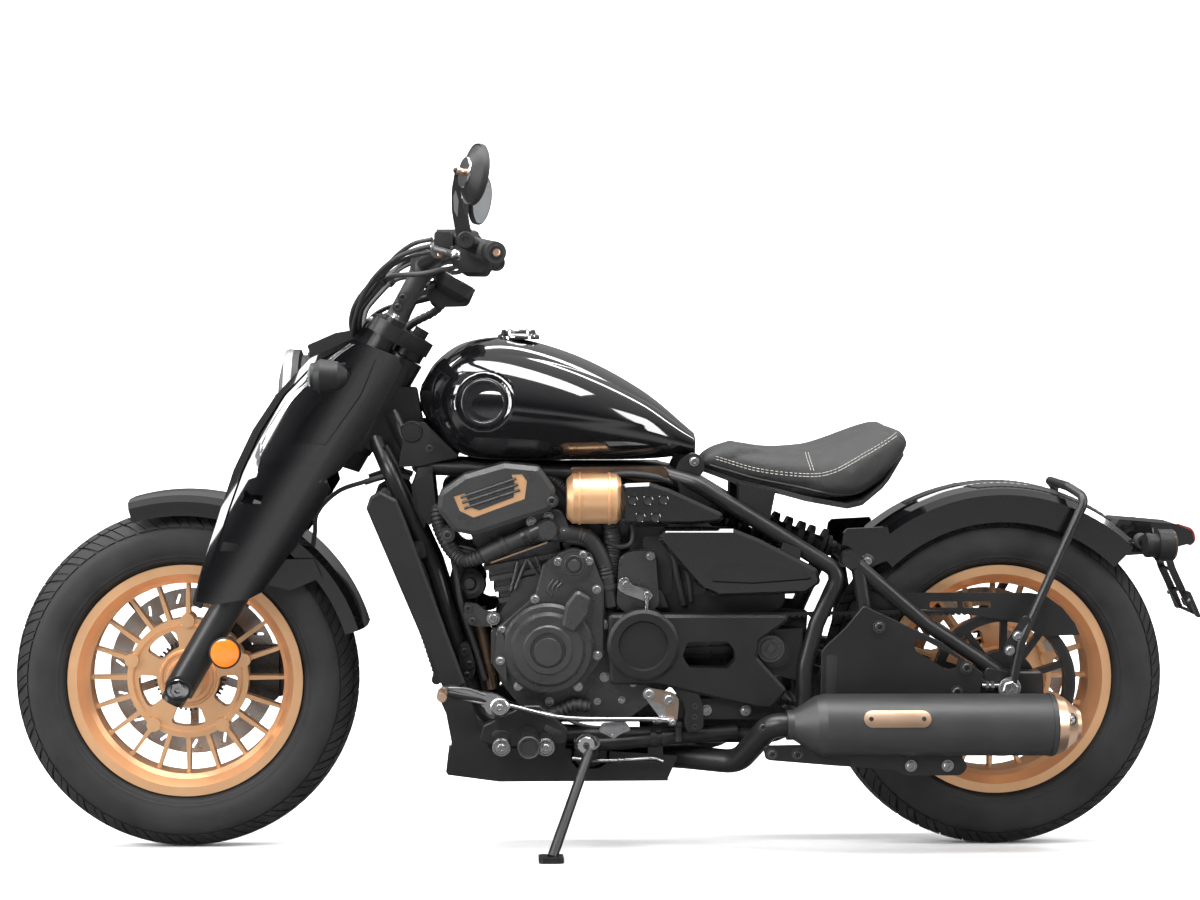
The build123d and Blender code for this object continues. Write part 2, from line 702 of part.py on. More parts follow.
with BuildPart() as bar_cables:
    tube([CABLE_START, (345, 215, 1118), (410, 150, 1070), (446, 90, 1000), (450, 60, 962)], CABLE_R, 30)
    tube(LEVER_ROUTE, LEVER_R + SEAT_GAP, LEVER_BEND, Mode.SUBTRACT)
    both_sides()
save(bar_cables, "bar_cables")

# ---------------------------------------------------------------- frame and swingarm
RAIL_Z = 228.0
TOP_RAIL_Z = 712.0
TOP_RAIL_Y = 58.0
PIVOT_PLATE_IN = 84.0
PIVOT_PLATE_OUT = 117.5
PIVOT_BOLT_R = 9.0

FRAME_ROUTE = [
    on_fork(LOWER_YOKE_TOP + 40, -FORK_OFFSET - 20, 10),
    on_fork(LOWER_YOKE_TOP + 2, -FORK_OFFSET - 78, 66),
    Vector(300, DOWN_Y, 535),
    Vector(214, DOWN_Y, 262),
    Vector(120, FRAME_Y, RAIL_Z),
    Vector(-330, FRAME_Y, RAIL_Z),
    Vector(-384, SEAT_TUBE_Y, RAIL_Z + 30),
    Vector(-386, SEAT_TUBE_Y, 360),
    Vector(-406, SEAT_TUBE_Y, 440),
    Vector(-448, SEAT_TUBE_Y, 534),
    Vector(-182, 95, 696),
    Vector(-120, TOP_RAIL_Y + 10, TOP_RAIL_Z),
    Vector(60, TOP_RAIL_Y, TOP_RAIL_Z),
    Vector(330, TOP_RAIL_Y - 4, TOP_RAIL_Z + 10),
    on_fork((LOWER_YOKE_TOP + TOP_YOKE) / 2 - 14, -FORK_OFFSET - 29, 20),
]
NECK_PLATE = [
    on_fork(TOP_YOKE - 80, -43),
    on_fork(TOP_YOKE - 56, -96),
    on_fork(TOP_YOKE - 107, -140),
    on_fork(LOWER_YOKE_TOP + 46, -148),
    on_fork(LOWER_YOKE_TOP + 10, -124),
    on_fork(LOWER_YOKE_TOP + 12, -79),
    on_fork(LOWER_YOKE_TOP + 16, -55),
]
FRAME_BENDS = [60, 90, 60, 40, 30, 20, 60, 60, 26, 60, 60, 200, 60]
SEAT_NODE = Vector(-182, 0, 654)  # cross tube that carries the shock


def clear_of_frame():
    """Cut the frame's tubes, and the gap around them, out of the piece."""
    tube(FRAME_ROUTE, FRAME_R + SEAT_GAP, FRAME_BENDS, Mode.SUBTRACT)


with BuildPart() as frame:
    tube(FRAME_ROUTE, FRAME_R, FRAME_BENDS)
    slab([(-300, 350), (-300, 425), (-381, 430), (-381, 330)], PIVOT_PLATE_OUT, PIVOT_PLATE_IN)
    slab([(point.X, point.Z) for point in NECK_PLATE], 30, 20, 6)
    slab([(336, 700), (303, 715), (296, 650), (306, 612), (328, 640)], DOWN_Y + 18, DOWN_Y - 14, 4)
    slab([(-146, 706), (-222, 676), (-200, 640), (-164, 640)], 98, 88, 4)
    both_sides()
    slab([(-20, 234), (-20, 186), (0, 174), (30, 174), (40, 186), (40, 234)], 118, FRAME_Y - 8)
    rod(on_fork(LOWER_YOKE_TOP + SEAT_GAP, -FORK_OFFSET), on_fork(TOP_YOKE - 18, -FORK_OFFSET), HEAD_R)
    rod(on_fork(LOWER_YOKE, -FORK_OFFSET), on_fork(TOP_YOKE, -FORK_OFFSET), HEAD_BORE_R, Mode.SUBTRACT)
    cross_rod(-384, RAIL_Z + 34, FRAME_R - 3, -SEAT_TUBE_Y, SEAT_TUBE_Y)
    cross_rod(SEAT_NODE.X, SEAT_NODE.Z, FRAME_R - 3, -90, 90)
    cross_rod(100, RAIL_Z, FRAME_R - 3, -FRAME_Y, FRAME_Y)
    cross_rod(330, 722, FRAME_R - 3, -TOP_RAIL_Y, TOP_RAIL_Y)
    cross_rod(PIVOT.X, PIVOT.Z, PIVOT_BOLT_R, -PIVOT_PLATE_IN - 20, PIVOT_PLATE_IN + 20)
    for side in (1, -1):
        cross_rod(PIVOT.X, PIVOT.Z, 26, side * (PIVOT_PLATE_OUT - 1), side * (PIVOT_PLATE_OUT + 12))
        cross_rod(PIVOT.X, PIVOT.Z, 19, side * (PIVOT_PLATE_OUT + 11), side * (PIVOT_PLATE_OUT + 16))
    rod(STAND_PIVOT - STAND_AXIS * 62, STAND_PIVOT - STAND_AXIS * 10.6, 13)
    rod(STAND_PIVOT - STAND_AXIS * 12, STAND_PIVOT + STAND_AXIS * 14, STAND_PIN_R)
save(frame, "frame")

AXLE_ARM_END = ARM_Y + 14.0
AXLE_BLOCK = [(-721, 362), (-700, 302), (-829, 300), (-826, 352), (-772, 352)]
# The main tube, the tube up to the shock's lug and the strut between them: route, radius, bend.
ARM_TUBES = [
    (
        [(PIVOT.X - 8, 62, PIVOT.Z - 4), (-384, 64, 376), (-452, ARM_Y, 364), (REAR.X, ARM_Y, REAR.Z)],
        ARM_R + 2,
        24,
    ),
    (
        [(SHOCK_LUG.X, ARM_Y, SHOCK_LUG.Z), (-610, ARM_Y, 438), (REAR.X + 14, ARM_Y, REAR.Z + 26)],
        ARM_R,
        60,
    ),
    (
        [(SHOCK_LUG.X - 14, ARM_Y, SHOCK_LUG.Z - 10), (-494, ARM_Y, 470), (-480, ARM_Y, 362)],
        ARM_R,
        30,
    ),
]

with BuildPart() as swingarm:
    for route, radius, bend in ARM_TUBES:
        tube(route, radius, bend)
    slab(AXLE_BLOCK, AXLE_ARM_END, ARM_Y - 14, 6, bevel=3)
    cross_rod(SHOCK_LUG.X, SHOCK_LUG.Z, 17, ARM_Y - 16, ARM_Y + 16)
    both_sides()
    cross_rod(PIVOT.X, PIVOT.Z, 22, -PIVOT_PLATE_IN + 1, PIVOT_PLATE_IN - 1)
    cross_rod(PIVOT.X, PIVOT.Z, PIVOT_BOLT_R + SEAT_GAP, -PIVOT_PLATE_IN, PIVOT_PLATE_IN, Mode.SUBTRACT)
    cross_rod(SHOCK_LUG.X, SHOCK_LUG.Z, 12, -ARM_Y, ARM_Y)
    cross_rod(REAR.X, REAR.Z, AXLE_R, -AXLE_ARM_END - 12, AXLE_ARM_END + 12)
    cross_rod(REAR.X, REAR.Z, AXLE_BORE_R, -AXLE_ARM_END - 12, AXLE_ARM_END + 12, Mode.SUBTRACT)
save(swingarm, "swingarm")

SHOCK_TOP = SEAT_NODE + Vector(-14, 0, 4)
SHOCK_TURNS = 7
SPRING_R = 29.0

with BuildPart() as shock:
    shock_run = SHOCK_LUG - SHOCK_TOP
    shock_axis = shock_run.normalized()
    rod(SHOCK_TOP, SHOCK_LUG - shock_axis * 12.4, 15)
    rod(SHOCK_TOP + shock_axis * 16, SHOCK_TOP + shock_axis * 30, SPRING_R)
    for turn in range(SHOCK_TURNS):
        start = SHOCK_TOP + shock_axis * (40 + turn * 26)
        rod(start, start + shock_axis * 12, SPRING_R)
    rod(SHOCK_TOP + shock_axis * 218, SHOCK_TOP + shock_axis * 228, SPRING_R)
    cross_rod(SEAT_NODE.X, SEAT_NODE.Z, FRAME_R - 3 + SEAT_GAP, -40, 40, Mode.SUBTRACT)
save(shock, "shock")

# ---------------------------------------------------------------- engine
CASE_HALF = 104.0
COVER_R = 84.0
COVER_OUT = 158.0
CANISTER_R = 48.0
CANISTER_Y = 118.0
MUFFLER_Y = 214.0
MUFFLER_Z = 268.0
MUFFLER_R = 56.0
PIPE_R = 22.0
EXHAUST_ROUTE = [
    Vector(236, 30, 560),
    Vector(252, 30, 500),
    Vector(214, 30, 330),
    Vector(186, 34, 184),
    Vector(60, 58, 180),
    Vector(-150, 62, 180),
    Vector(-262, 128, 182),
    Vector(-312, MUFFLER_Y, MUFFLER_Z),
    Vector(-352, MUFFLER_Y, MUFFLER_Z),
]
EXHAUST_BENDS = [30, 90, 50, 60, 80, 60, 30]

HOSE_ROUTE = [(96, 108, 612), (58, 116, 602), (14, 112, 592), (-12, 108, 552), (-24, 102, 480)]
HOSE_R = 15.0
BARREL = [(42, 500), (178, 474), (181, 482), (44, 508)]  # lowest fin of the barrel
FIN_STEP = Vector(9, 0, 20)
FIN_COUNT = 5
BLOCK_OUTLINE = [
    (178, 330),
    (186, 440),
    (140, 520),
    (20, 545),
    (-120, 500),
    (-150, 420),
    (-140, 320),
    (-60, 258),
    (120, 258),
]

with BuildPart() as engine_block:
    slab(BLOCK_OUTLINE, CASE_HALF, -CASE_HALF, 24)
    slab([(58, 470), (160, 452), (232, 600), (250, 668), (120, 690), (70, 600)], 96, -96, 8)
    airbox_half = CANISTER_Y - CANISTER_R - SEAT_GAP
    slab([(-60, 600), (80, 600), (80, 692), (-60, 692)], airbox_half, -airbox_half, 6)
    slab([(70, 560), (-30, 520), (-150, 480), (-156, 590), (-112, 640), (-50, 640)], 56, -56, 8)
    for fin in range(FIN_COUNT):
        rise = FIN_STEP * fin
        slab([(x + rise.X, z + rise.Z) for x, z in BARREL], CASE_HALF, -CASE_HALF)
    for side in (1, -1):
        tube([(x, side * y, z) for x, y, z in HOSE_ROUTE], HOSE_R, 24)
        cross_rod(HOSE_ROUTE[0][0], HOSE_ROUTE[0][2], HOSE_R + 5, side * 90, side * 134)
    slab(
        [(-34, 462), (-34, 344), (-200, 300), (-200, 470)],
        CASE_HALF + 1, PULLEY_Y - BELT_W / 2 - 4, mode=Mode.SUBTRACT,
    )
    pulley_in = PULLEY_Y - BELT_W / 2 - 5
    cross_rod(FRONT_PULLEY.X, FRONT_PULLEY.Z, FRONT_PULLEY_R, pulley_in, PULLEY_Y + BELT_W / 2 + 1)
    for side in (1, -1):
        port = [Vector(point.X, side * point.Y, point.Z) for point in EXHAUST_ROUTE[:2]]
        rod(port[0], port[1], PIPE_R + SEAT_GAP, Mode.SUBTRACT)
save(engine_block, "engine_block")

# The crank cover's turned face: flange, shoulder, a ridge round the bare medallion.
CRANK_PROFILE = [
    (0, CASE_HALF + SEAT_GAP),
    (COVER_R, CASE_HALF + SEAT_GAP),
    (COVER_R, COVER_OUT - 16),
    (COVER_R - 5, COVER_OUT - 11),
    (COVER_R - 15, COVER_OUT - 9),
    (COVER_R - 21, COVER_OUT - 2),
    (46, COVER_OUT),
    (43, COVER_OUT + 3),
    (33, COVER_OUT + 3),
    (31, COVER_OUT - 2),
    (0, COVER_OUT - 2),
]
FLANGE_OUTLINE = [
    (114, 492),
    (180, 434),
    (184, 372),
    (146, 316),
    (30, 316),
    (-14, 378),
    (-12, 508),
    (12, 572),
    (66, 572),
    (100, 548),
]
WART_OUTLINE = [(66, 436), (58, 480), (38, 506), (10, 490), (16, 460), (42, 426)]
UPPER_BOSS = (43, 549)

with BuildPart() as engine_covers:
    slab(FLANGE_OUTLINE, COVER_OUT - 26, CASE_HALF + SEAT_GAP, 12, bevel=3)
    turned(CRANK_PROFILE, Vector(CRANK.X, 0, CRANK.Z))
    cross_rod(*UPPER_BOSS, 30, CASE_HALF + 1, COVER_OUT - 20)
    cross_rod(*UPPER_BOSS, 24, COVER_OUT - 21, COVER_OUT - 15)
    slab(WART_OUTLINE, COVER_OUT + 4, CASE_HALF + 1, 9, bevel=5)
    slab([(164, 330), (190, 366), (182, 430), (170, 420)], COVER_OUT - 12, CASE_HALF + 1, 3)
    tube([(x, y, z) for x, y, z in HOSE_ROUTE], HOSE_R + SEAT_GAP, 24, Mode.SUBTRACT)
    both_sides()
save(engine_covers, "engine_covers")

VALVE_OUTLINE = [
    (288, 683),
    (243, 715),
    (171, 736),
    (107, 730),
    (78, 690),
    (84, 652),
    (134, 636),
    (224, 605),
    (262, 612),
    (292, 652),
]
# The U-shaped channel in the valve cover: its outer edge, then back along its inner edge.
INLAY_OUTLINE = [
    (158, 716),
    (139, 717),
    (130, 704),
    (134, 672),
    (226, 638),
    (251, 650),
    (262, 676),
    (242, 682),
    (232, 657),
    (216, 651),
    (154, 675),
    (152, 700),
]
VALVE_OUT = 164.0
INLAY_DEPTH = 5.0
EARS = [(273, 605), (85, 668)]

with BuildPart() as valve_covers:
    slab(VALVE_OUTLINE, VALVE_OUT, 97, 14, bevel=8)
    for x, z in EARS:
        cross_rod(x, z, 13, 97, VALVE_OUT - 12)
    slab(INLAY_OUTLINE, VALVE_OUT + 4, VALVE_OUT - INLAY_DEPTH, mode=Mode.SUBTRACT)
    both_sides()
save(valve_covers, "valve_covers")

with BuildPart() as valve_inlays:
    slab(INLAY_OUTLINE, VALVE_OUT - 1.5, VALVE_OUT - INLAY_DEPTH)
    both_sides()
save(valve_inlays, "valve_inlays")

# The canister's wall with bevelled ends and two thin bands, as (x, radius).
CANISTER_PROFILE = [
    (57, 0),
    (57, 36),
    (46, CANISTER_R - 2),
    (36, CANISTER_R - 2),
    (35, CANISTER_R),
    (31, CANISTER_R),
    (30, CANISTER_R - 2),
    (-18, CANISTER_R - 2),
    (-19, CANISTER_R),
    (-23, CANISTER_R),
    (-24, CANISTER_R - 2),
    (-34, CANISTER_R - 2),
    (-42, 38),
    (-42, 0),
]
CANISTER_Z = 669.0

with BuildPart() as intake_canisters:
    turned_ahead(CANISTER_PROFILE, Vector(0, CANISTER_Y, CANISTER_Z))
    both_sides()
save(intake_canisters, "intake_canisters")

# ---------------------------------------------------------------- covers on the frame
COVER_FACE_Y = 164.0
DIMPLES = [(-61, 670), (-89, 670), (-117, 671), (-75, 639), (-103, 639)]
DIMPLE_R = 8.0
INTAKE_COVER = [(-42.3, 700), (-92, 702), (-128, 691), (-256, 633), (-170, 626), (-42.3, 626)]
SIDE_COVER = [
    (-107, 600),
    (-120, 618),
    (-247, 618),
    (-293, 600),
    (-400, 545),
    (-408, 520),
    (-380, 500),
    (-220, 494),
    (-184, 512),
]
SCOOP = [(-198, 537), (-214, 553), (-273, 559), (-386, 536), (-390, 526), (-284, 518), (-209, 521)]

with BuildPart() as side_covers:
    slab(INTAKE_COVER, COVER_FACE_Y, 128, 10, bevel=6)
    slab(SIDE_COVER, COVER_FACE_Y, 128, 10, bevel=6)
    for x, z in DIMPLES:
        cross_rod(x, z, DIMPLE_R, COVER_FACE_Y - 5, COVER_FACE_Y + 1, Mode.SUBTRACT)
    slab(SCOOP, COVER_FACE_Y + 1, COVER_FACE_Y - 9, 4, Mode.SUBTRACT)
    slab([(-325, 555), (-340, 592), (-372, 580), (-372, 550)], 140, 112)
    clear_of_frame()
    both_sides()
save(side_covers, "side_covers")

NECK_COVER = [(352, 800), (330, 804), (300, 762), (256, 746), (256, 736), (318, 733), (352, 724)]

with BuildPart() as neck_covers:
    slab(NECK_COVER, 68, 31, 5, bevel=3)
    cross_rod(332, 786, 10, 60, 74)
    clear_of_frame()
    cross_rod(330, 722, FRAME_R - 3 + SEAT_GAP, 0, 80, Mode.SUBTRACT)
    both_sides()
save(neck_covers, "neck_covers")

RADIATOR_HALF = 128.0

RADIATOR_CORE = [(402, 664), (372, 664), (260, 330), (292, 330)]
SHROUD_OUTLINE = [
    (421, 652),
    (414, 673),
    (396, 684),
    (366, 668),
    (350, 630),
    (240, 330),
    (268, 306),
    (280, 320),
]

with BuildPart() as radiator:
    slab(RADIATOR_CORE, RADIATOR_HALF, 0)
    slab([(402, 640), (396, 640), (292, 352), (298, 352)], RADIATOR_HALF - 14, -1, mode=Mode.SUBTRACT)
    clear_of_frame()
    both_sides()
save(radiator, "radiator")

with BuildPart() as radiator_shroud:
    slab(SHROUD_OUTLINE, RADIATOR_HALF + 16, RADIATOR_HALF + SEAT_GAP, 6, bevel=5)
    both_sides()
save(radiator_shroud, "radiator_shroud")

PAN_IN = FRAME_Y + FRAME_R + SEAT_GAP
PAN_OUT = PAN_IN + 6

PAN_SIDE = [
    (294, 313),
    (276, 272),
    (266, 220),
    (272, 164),
    (178, 150),
    (-134, 151),
    (-152, 192),
    (60, 206),
    (196, 206),
    (240, 316),
]
PAN_FLOOR = [(276, 164), (272, 158), (178, 145), (-134, 146), (-134, 153), (178, 152)]

with BuildPart() as belly_pan:
    slab(PAN_SIDE, PAN_OUT, PAN_IN, 4)
    slab(PAN_FLOOR, PAN_OUT, 0)
    for x in (-110, 70):
        slab([(x - 14, 190), (x + 14, 190), (x + 14, RAIL_Z), (x - 14, RAIL_Z)], PAN_OUT, PAN_IN)
    tube(EXHAUST_ROUTE, PIPE_R + 3, EXHAUST_BENDS, Mode.SUBTRACT)
    both_sides()
    slab([(-25, 212), (-25, 182), (-4, 169), (34, 169), (45, 182), (45, 212)], 130, 90, mode=Mode.SUBTRACT)
save(belly_pan, "belly_pan")

# ---------------------------------------------------------------- belt drive, on the left
with BuildPart() as drive_belt:
    with BuildSketch(side_plane(PULLEY_Y + BELT_W / 2)) as loop:
        with Locations((REAR.X, REAR.Z)):
            Circle(PULLEY_R + SEAT_GAP + BELT_THICK)
        with Locations((FRONT_PULLEY.X, FRONT_PULLEY.Z)):
            Circle(FRONT_PULLEY_R + SEAT_GAP + BELT_THICK)
        make_hull()
    with BuildSketch(side_plane(PULLEY_Y + BELT_W / 2)) as inside:
        with Locations((REAR.X, REAR.Z)):
            Circle(PULLEY_R + SEAT_GAP)
        with Locations((FRONT_PULLEY.X, FRONT_PULLEY.Z)):
            Circle(FRONT_PULLEY_R + SEAT_GAP)
        make_hull()
    extrude(loop.sketch, amount=BELT_W)
    extrude(inside.sketch, amount=BELT_W, mode=Mode.SUBTRACT)
save(drive_belt, "drive_belt")

BELT_COVER_OUT = 152.0
BELT_COVER_IN = 118.0
BELT_COVER = [
    (-20, 459),
    (-366, 459),
    (-297, 411),
    (-294, 380),
    (-350, 319),
    (-320, 285),
    (-299, 286),
    (-110, 330),
    (-24, 330),
]
BELT_WINDOW = [(-156, 384), (-165, 410), (-238, 411), (-252, 393), (-252, 374), (-239, 360), (-169, 362)]
BELT_GUARD = [
    (-506, 495),
    (-805, 495),
    (-833, 491),
    (-866, 468),
    (-891, 438),
    (-901, 416),
    (-825, 414),
    (-787, 440),
    (-640, 462),
    (-506, 470),
]

with BuildPart() as belt_cover:
    slab(BELT_COVER, BELT_COVER_OUT, BELT_COVER_IN, 8, bevel=5)
    slab(BELT_WINDOW, BELT_COVER_OUT + 8, BELT_COVER_IN - 8, 8, Mode.SUBTRACT)
    boss = [(66, BELT_COVER_IN), (66, BELT_COVER_OUT + 1), (60, BELT_COVER_OUT + 6), (46, BELT_COVER_OUT + 6)]
    hollow = [(42, BELT_COVER_OUT - 2), (30, BELT_COVER_OUT - 4), (0, BELT_COVER_OUT - 2), (0, BELT_COVER_IN)]
    turned(boss + hollow, FRONT_PULLEY)
save(belt_cover, "belt_cover")

with BuildPart() as belt_guard:
    slab(BELT_GUARD, ARM_Y - ARM_R - SEAT_GAP, ARM_Y - ARM_R - 4)
    for x0, x1 in ((-672, -618), (-733, -680)):
        slab([(x0, 467), (x1, 467), (x1, 479), (x0, 479)], 120, 100, 4, Mode.SUBTRACT)
save(belt_guard, "belt_guard")

PLATE_IN = ARM_Y + ARM_R + 2 + SEAT_GAP
ARM_PLATE = [
    (-489, 476),
    (-456, 435),
    (-419, 400),
    (-412, 390),
    (-412, 298),
    (-706, 302),
    (-713, 350),
    (-633, 409),
]

ARM_SLOT = [(-581, 412), (-599, 414), (-667, 377), (-662, 360), (-645, 357), (-586, 392)]

with BuildPart() as swingarm_plate:
    slab(ARM_PLATE, PLATE_IN + 6, PLATE_IN, 6, bevel=1.5)
    slab([(-442, 306), (-421, 306), (-421, 386), (-442, 386)], 160, 130, 6, Mode.SUBTRACT)
    slab(ARM_SLOT, 160, 130, 4, Mode.SUBTRACT)
save(swingarm_plate, "swingarm_plate")

# ---------------------------------------------------------------- exhaust
with BuildPart() as exhaust_pipes:
    tube(EXHAUST_ROUTE, PIPE_R, EXHAUST_BENDS)
    both_sides()
save(exhaust_pipes, "exhaust_pipes")

MUFFLER_START = -398.0  # where the front cone ends
MUFFLER_END = -826.0

with BuildPart() as mufflers:
    tail = MUFFLER_END - MUFFLER_START
    turned_ahead(
        [(58, 0), (58, 27), (46, 27), (6, MUFFLER_R - 4), (-10, MUFFLER_R), (tail, MUFFLER_R), (tail, 0)],
        Vector(MUFFLER_START, MUFFLER_Y, MUFFLER_Z),
    )
    slab([(-548, 222), (-556, 186), (-656, 184), (-664, 222)], MUFFLER_Y + 4, MUFFLER_Y - 4, 5)
    rod((-330, MUFFLER_Y, MUFFLER_Z), (-354, MUFFLER_Y, MUFFLER_Z), PIPE_R + SEAT_GAP, Mode.SUBTRACT)
    both_sides()
save(mufflers, "mufflers")

# The end cap's wall, its rolled lip and the outlet, as (ahead, radius).
CAP_PROFILE = [
    (0, 0),
    (0, MUFFLER_R),
    (-18, MUFFLER_R - 6),
    (-38, 34),
    (-46, 30),
    (-46, 24),
    (-30, 22),
    (-30, 0),
]

with BuildPart() as muffler_caps:
    turned_ahead(CAP_PROFILE, Vector(MUFFLER_END - SEAT_GAP, MUFFLER_Y, MUFFLER_Z))
    both_sides()
save(muffler_caps, "muffler_caps")

# ---------------------------------------------------------------- tank, seat and rear end
# x, half width at the floor, half width at the belly, belly height, half width at the shoulder,
# shoulder height, top height, floor height
TANK_SECTIONS = [
    (324, 20, 34, 845, 22, 866, 872, 826),
    (296, 52, 84, 838, 60, 895, 918, 782),
    (240, 78, 128, 836, 84, 925, 953, 744),
    (150, 92, 150, 834, 92, 930, 960, 738),
    (30, 84, 140, 822, 84, 900, 926, 738),
    (-90, 58, 96, 796, 56, 846, 862, 738),
    (-186, 26, 40, 762, 26, 778, 784, 745),
]

MEDALLION = Vector(209, 134, 845)  # bare round recess on the tank's side
MEDALLION_OUT = Vector(0.236, 0.97, 0.05).normalized()
MEDALLION_R = 50.0

with BuildPart() as fuel_tank:
    for x, floor_half, belly_half, belly_z, shoulder_half, shoulder_z, top_z, floor_z in TANK_SECTIONS:
        with BuildSketch(cross_plane(x)):
            with BuildLine():
                Line((-floor_half, floor_z), (floor_half, floor_z))
                ThreePointArc((floor_half, floor_z), (belly_half, belly_z), (shoulder_half, shoulder_z))
                ThreePointArc((shoulder_half, shoulder_z), (0, top_z), (-shoulder_half, shoulder_z))
                ThreePointArc((-shoulder_half, shoulder_z), (-belly_half, belly_z), (-floor_half, floor_z))
            make_face()
    loft()
    for x in (-60, 230):
        foot = [(x - 20, 745), (x + 20, 745), (x + 16, TOP_RAIL_Z), (x - 16, TOP_RAIL_Z)]
        slab(foot, TOP_RAIL_Y + 8, TOP_RAIL_Y - 8)
        slab(foot, -TOP_RAIL_Y + 8, -TOP_RAIL_Y - 8)
    clear_of_frame()
    rod(MEDALLION - MEDALLION_OUT * 6, MEDALLION + MEDALLION_OUT * 40, MEDALLION_R, Mode.SUBTRACT)
    rod(MEDALLION - MEDALLION_OUT * 7, MEDALLION - MEDALLION_OUT * 2, MEDALLION_R - 5)
    split(bisect_by=Plane.XZ, keep=Keep.BOTTOM)
    both_sides()
save(fuel_tank, "fuel_tank")

CAP_X = 145.0
CAP_TOP = 974.0

with BuildPart() as filler_cap:
    with BuildSketch(Plane.XY.offset(930)) as neck:
        with Locations((CAP_X, 0)):
            Circle(34)
    extrude(neck.sketch, amount=CAP_TOP - 10 - 930)
    with BuildSketch(Plane.XY.offset(CAP_TOP - 10)) as lid:
        with Locations((CAP_X, 0)):
            Circle(40)
    extrude(lid.sketch, amount=10)
    add(fuel_tank.part, mode=Mode.SUBTRACT)
save(filler_cap, "filler_cap")

SEAT_PLAN = [(-192, 60), (-300, 86), (-390, 140), (-470, 160), (-540, 140), (-580, 80)]
SEAT_TOP = [
    (-199, 757),
    (-226, 768),
    (-273, 757),
    (-330, 749),
    (-397, 752),
    (-435, 762),
    (-482, 781),
    (-548, 808),
    (-564, 806),
    (-578, 782),
]
SEAT_BOTTOM = [
    (-568, 758),
    (-521, 700),
    (-484, 671),
    (-455, 664),
    (-380, 676),
    (-342, 685),
    (-267, 700),
    (-196, 724),
]
PAN_THICK = 10.0
PAN_BOTTOM = [(x - 4 * (x < -560 or x > -200), z - PAN_THICK) for x, z in SEAT_BOTTOM]

with BuildPart() as seat_pad:
    slab(SEAT_TOP + SEAT_BOTTOM, 170, -170)
    with BuildSketch(Plane.XY.offset(600)) as plan:
        with BuildLine():
            Polyline(*SEAT_PLAN, *[(x, -y) for x, y in reversed(SEAT_PLAN)], close=True)
        make_face()
        fillet(plan.vertices(), 18)
    extrude(plan.sketch, amount=300, mode=Mode.INTERSECT)
save(seat_pad, "seat_pad")

with BuildPart() as seat_pan:
    slab([(x, z - SEAT_GAP) for x, z in SEAT_BOTTOM] + list(reversed(PAN_BOTTOM)), 150, -150)
    with BuildSketch(Plane.XY.offset(600)) as pan_plan:
        with BuildLine():
            Polyline(*SEAT_PLAN, *[(x, -y) for x, y in reversed(SEAT_PLAN)], close=True)
        make_face()
        offset(amount=-8)
    extrude(pan_plan.sketch, amount=300, mode=Mode.INTERSECT)
    slab([(-262, 697), (-330, 682), (-318, 618), (-262, 655)], 100, 60)
    clear_of_frame()
    split(bisect_by=Plane.XZ, keep=Keep.BOTTOM)
    both_sides()
save(seat_pan, "seat_pan")

REAR_FENDER_R = 368.0
REAR_SKIRT_R = 301.0
REAR_FENDER_HALF = 88.0

with BuildPart() as rear_fender:
    fender(REAR, REAR_FENDER_R, REAR_SKIRT_R, REAR_FENDER_HALF, 4.0, 46, 88)
    top = REAR_FENDER_R
    swept([(top - 2, 36), (top + 3, 32), (top + 3, -32), (top - 2, -36)], REAR, 47, 78)
    slab([(-458, 605), (-465, 612), (-540, 616), (-556, 560), (-510, 541), (-450, 541)], 98, 87, 3)
    cross_rod(SHOCK_LUG.X, SHOCK_LUG.Z, 12 + SEAT_GAP, 80, 110, Mode.SUBTRACT)
    both_sides()
    cross_rod(REAR.X, REAR.Z, REAR_TYRE_R + 10, -83, 83, Mode.SUBTRACT)
save(rear_fender, "rear_fender")

HOOP_R = 8.5

with BuildPart() as fender_hoop:
    hoop_foot_y = AXLE_ARM_END + SEAT_GAP + HOOP_R
    tube(
        [
            (-768, hoop_foot_y, 334),
            (-782, hoop_foot_y, 412),
            (-862, 118, 575),
            (-908, 108, 672),
            (-884, 66, 690),
            (-884, 0, 690),
        ],
        HOOP_R, [30, 60, 22, 24],
    )
    both_sides()
save(fender_hoop, "fender_hoop")

LAMP_OUTLINE = [
    (-975, 600),
    (-990, 626),
    (-1100, 617),
    (-1130, 604),
    (-1136, 582),
    (-1049, 560),
    (-990, 556),
]

with BuildPart() as tail_lamp:
    slab(LAMP_OUTLINE, 44, -44, 3)
    add(rear_fender.part, mode=Mode.SUBTRACT)
save(tail_lamp, "tail_lamp")

REAR_SIGNAL_Y = 118.0

with BuildPart() as rear_signals:
    rod((-1018, REAR_SIGNAL_Y, 585), (-1040, REAR_SIGNAL_Y, 585), 22)
    rod((-1040, REAR_SIGNAL_Y, 585), (-1068, REAR_SIGNAL_Y, 585), 30)
    cross_rod(-1030, 585, 8, 44.3, REAR_SIGNAL_Y)
    both_sides()
save(rear_signals, "rear_signals")

with BuildPart() as plate_bracket:
    slab([(-1049, 559.7), (-1070, 553), (-1136, 441), (-1142, 448), (-1096, 530), (-1090, 569.8)], 20, -20)
    slab([(-1084, 530), (-1134, 443), (-1138, 446), (-1089, 533)], 90, -90)
save(plate_bracket, "plate_bracket")

# ---------------------------------------------------------------- controls and stand
CONTROL_BRACKET = [(214, 232), (207, 259), (133, 296), (105, 296), (54, 252), (56, 226), (178, 219)]
PEG_R = 20.0
PEG_RIBS = 7

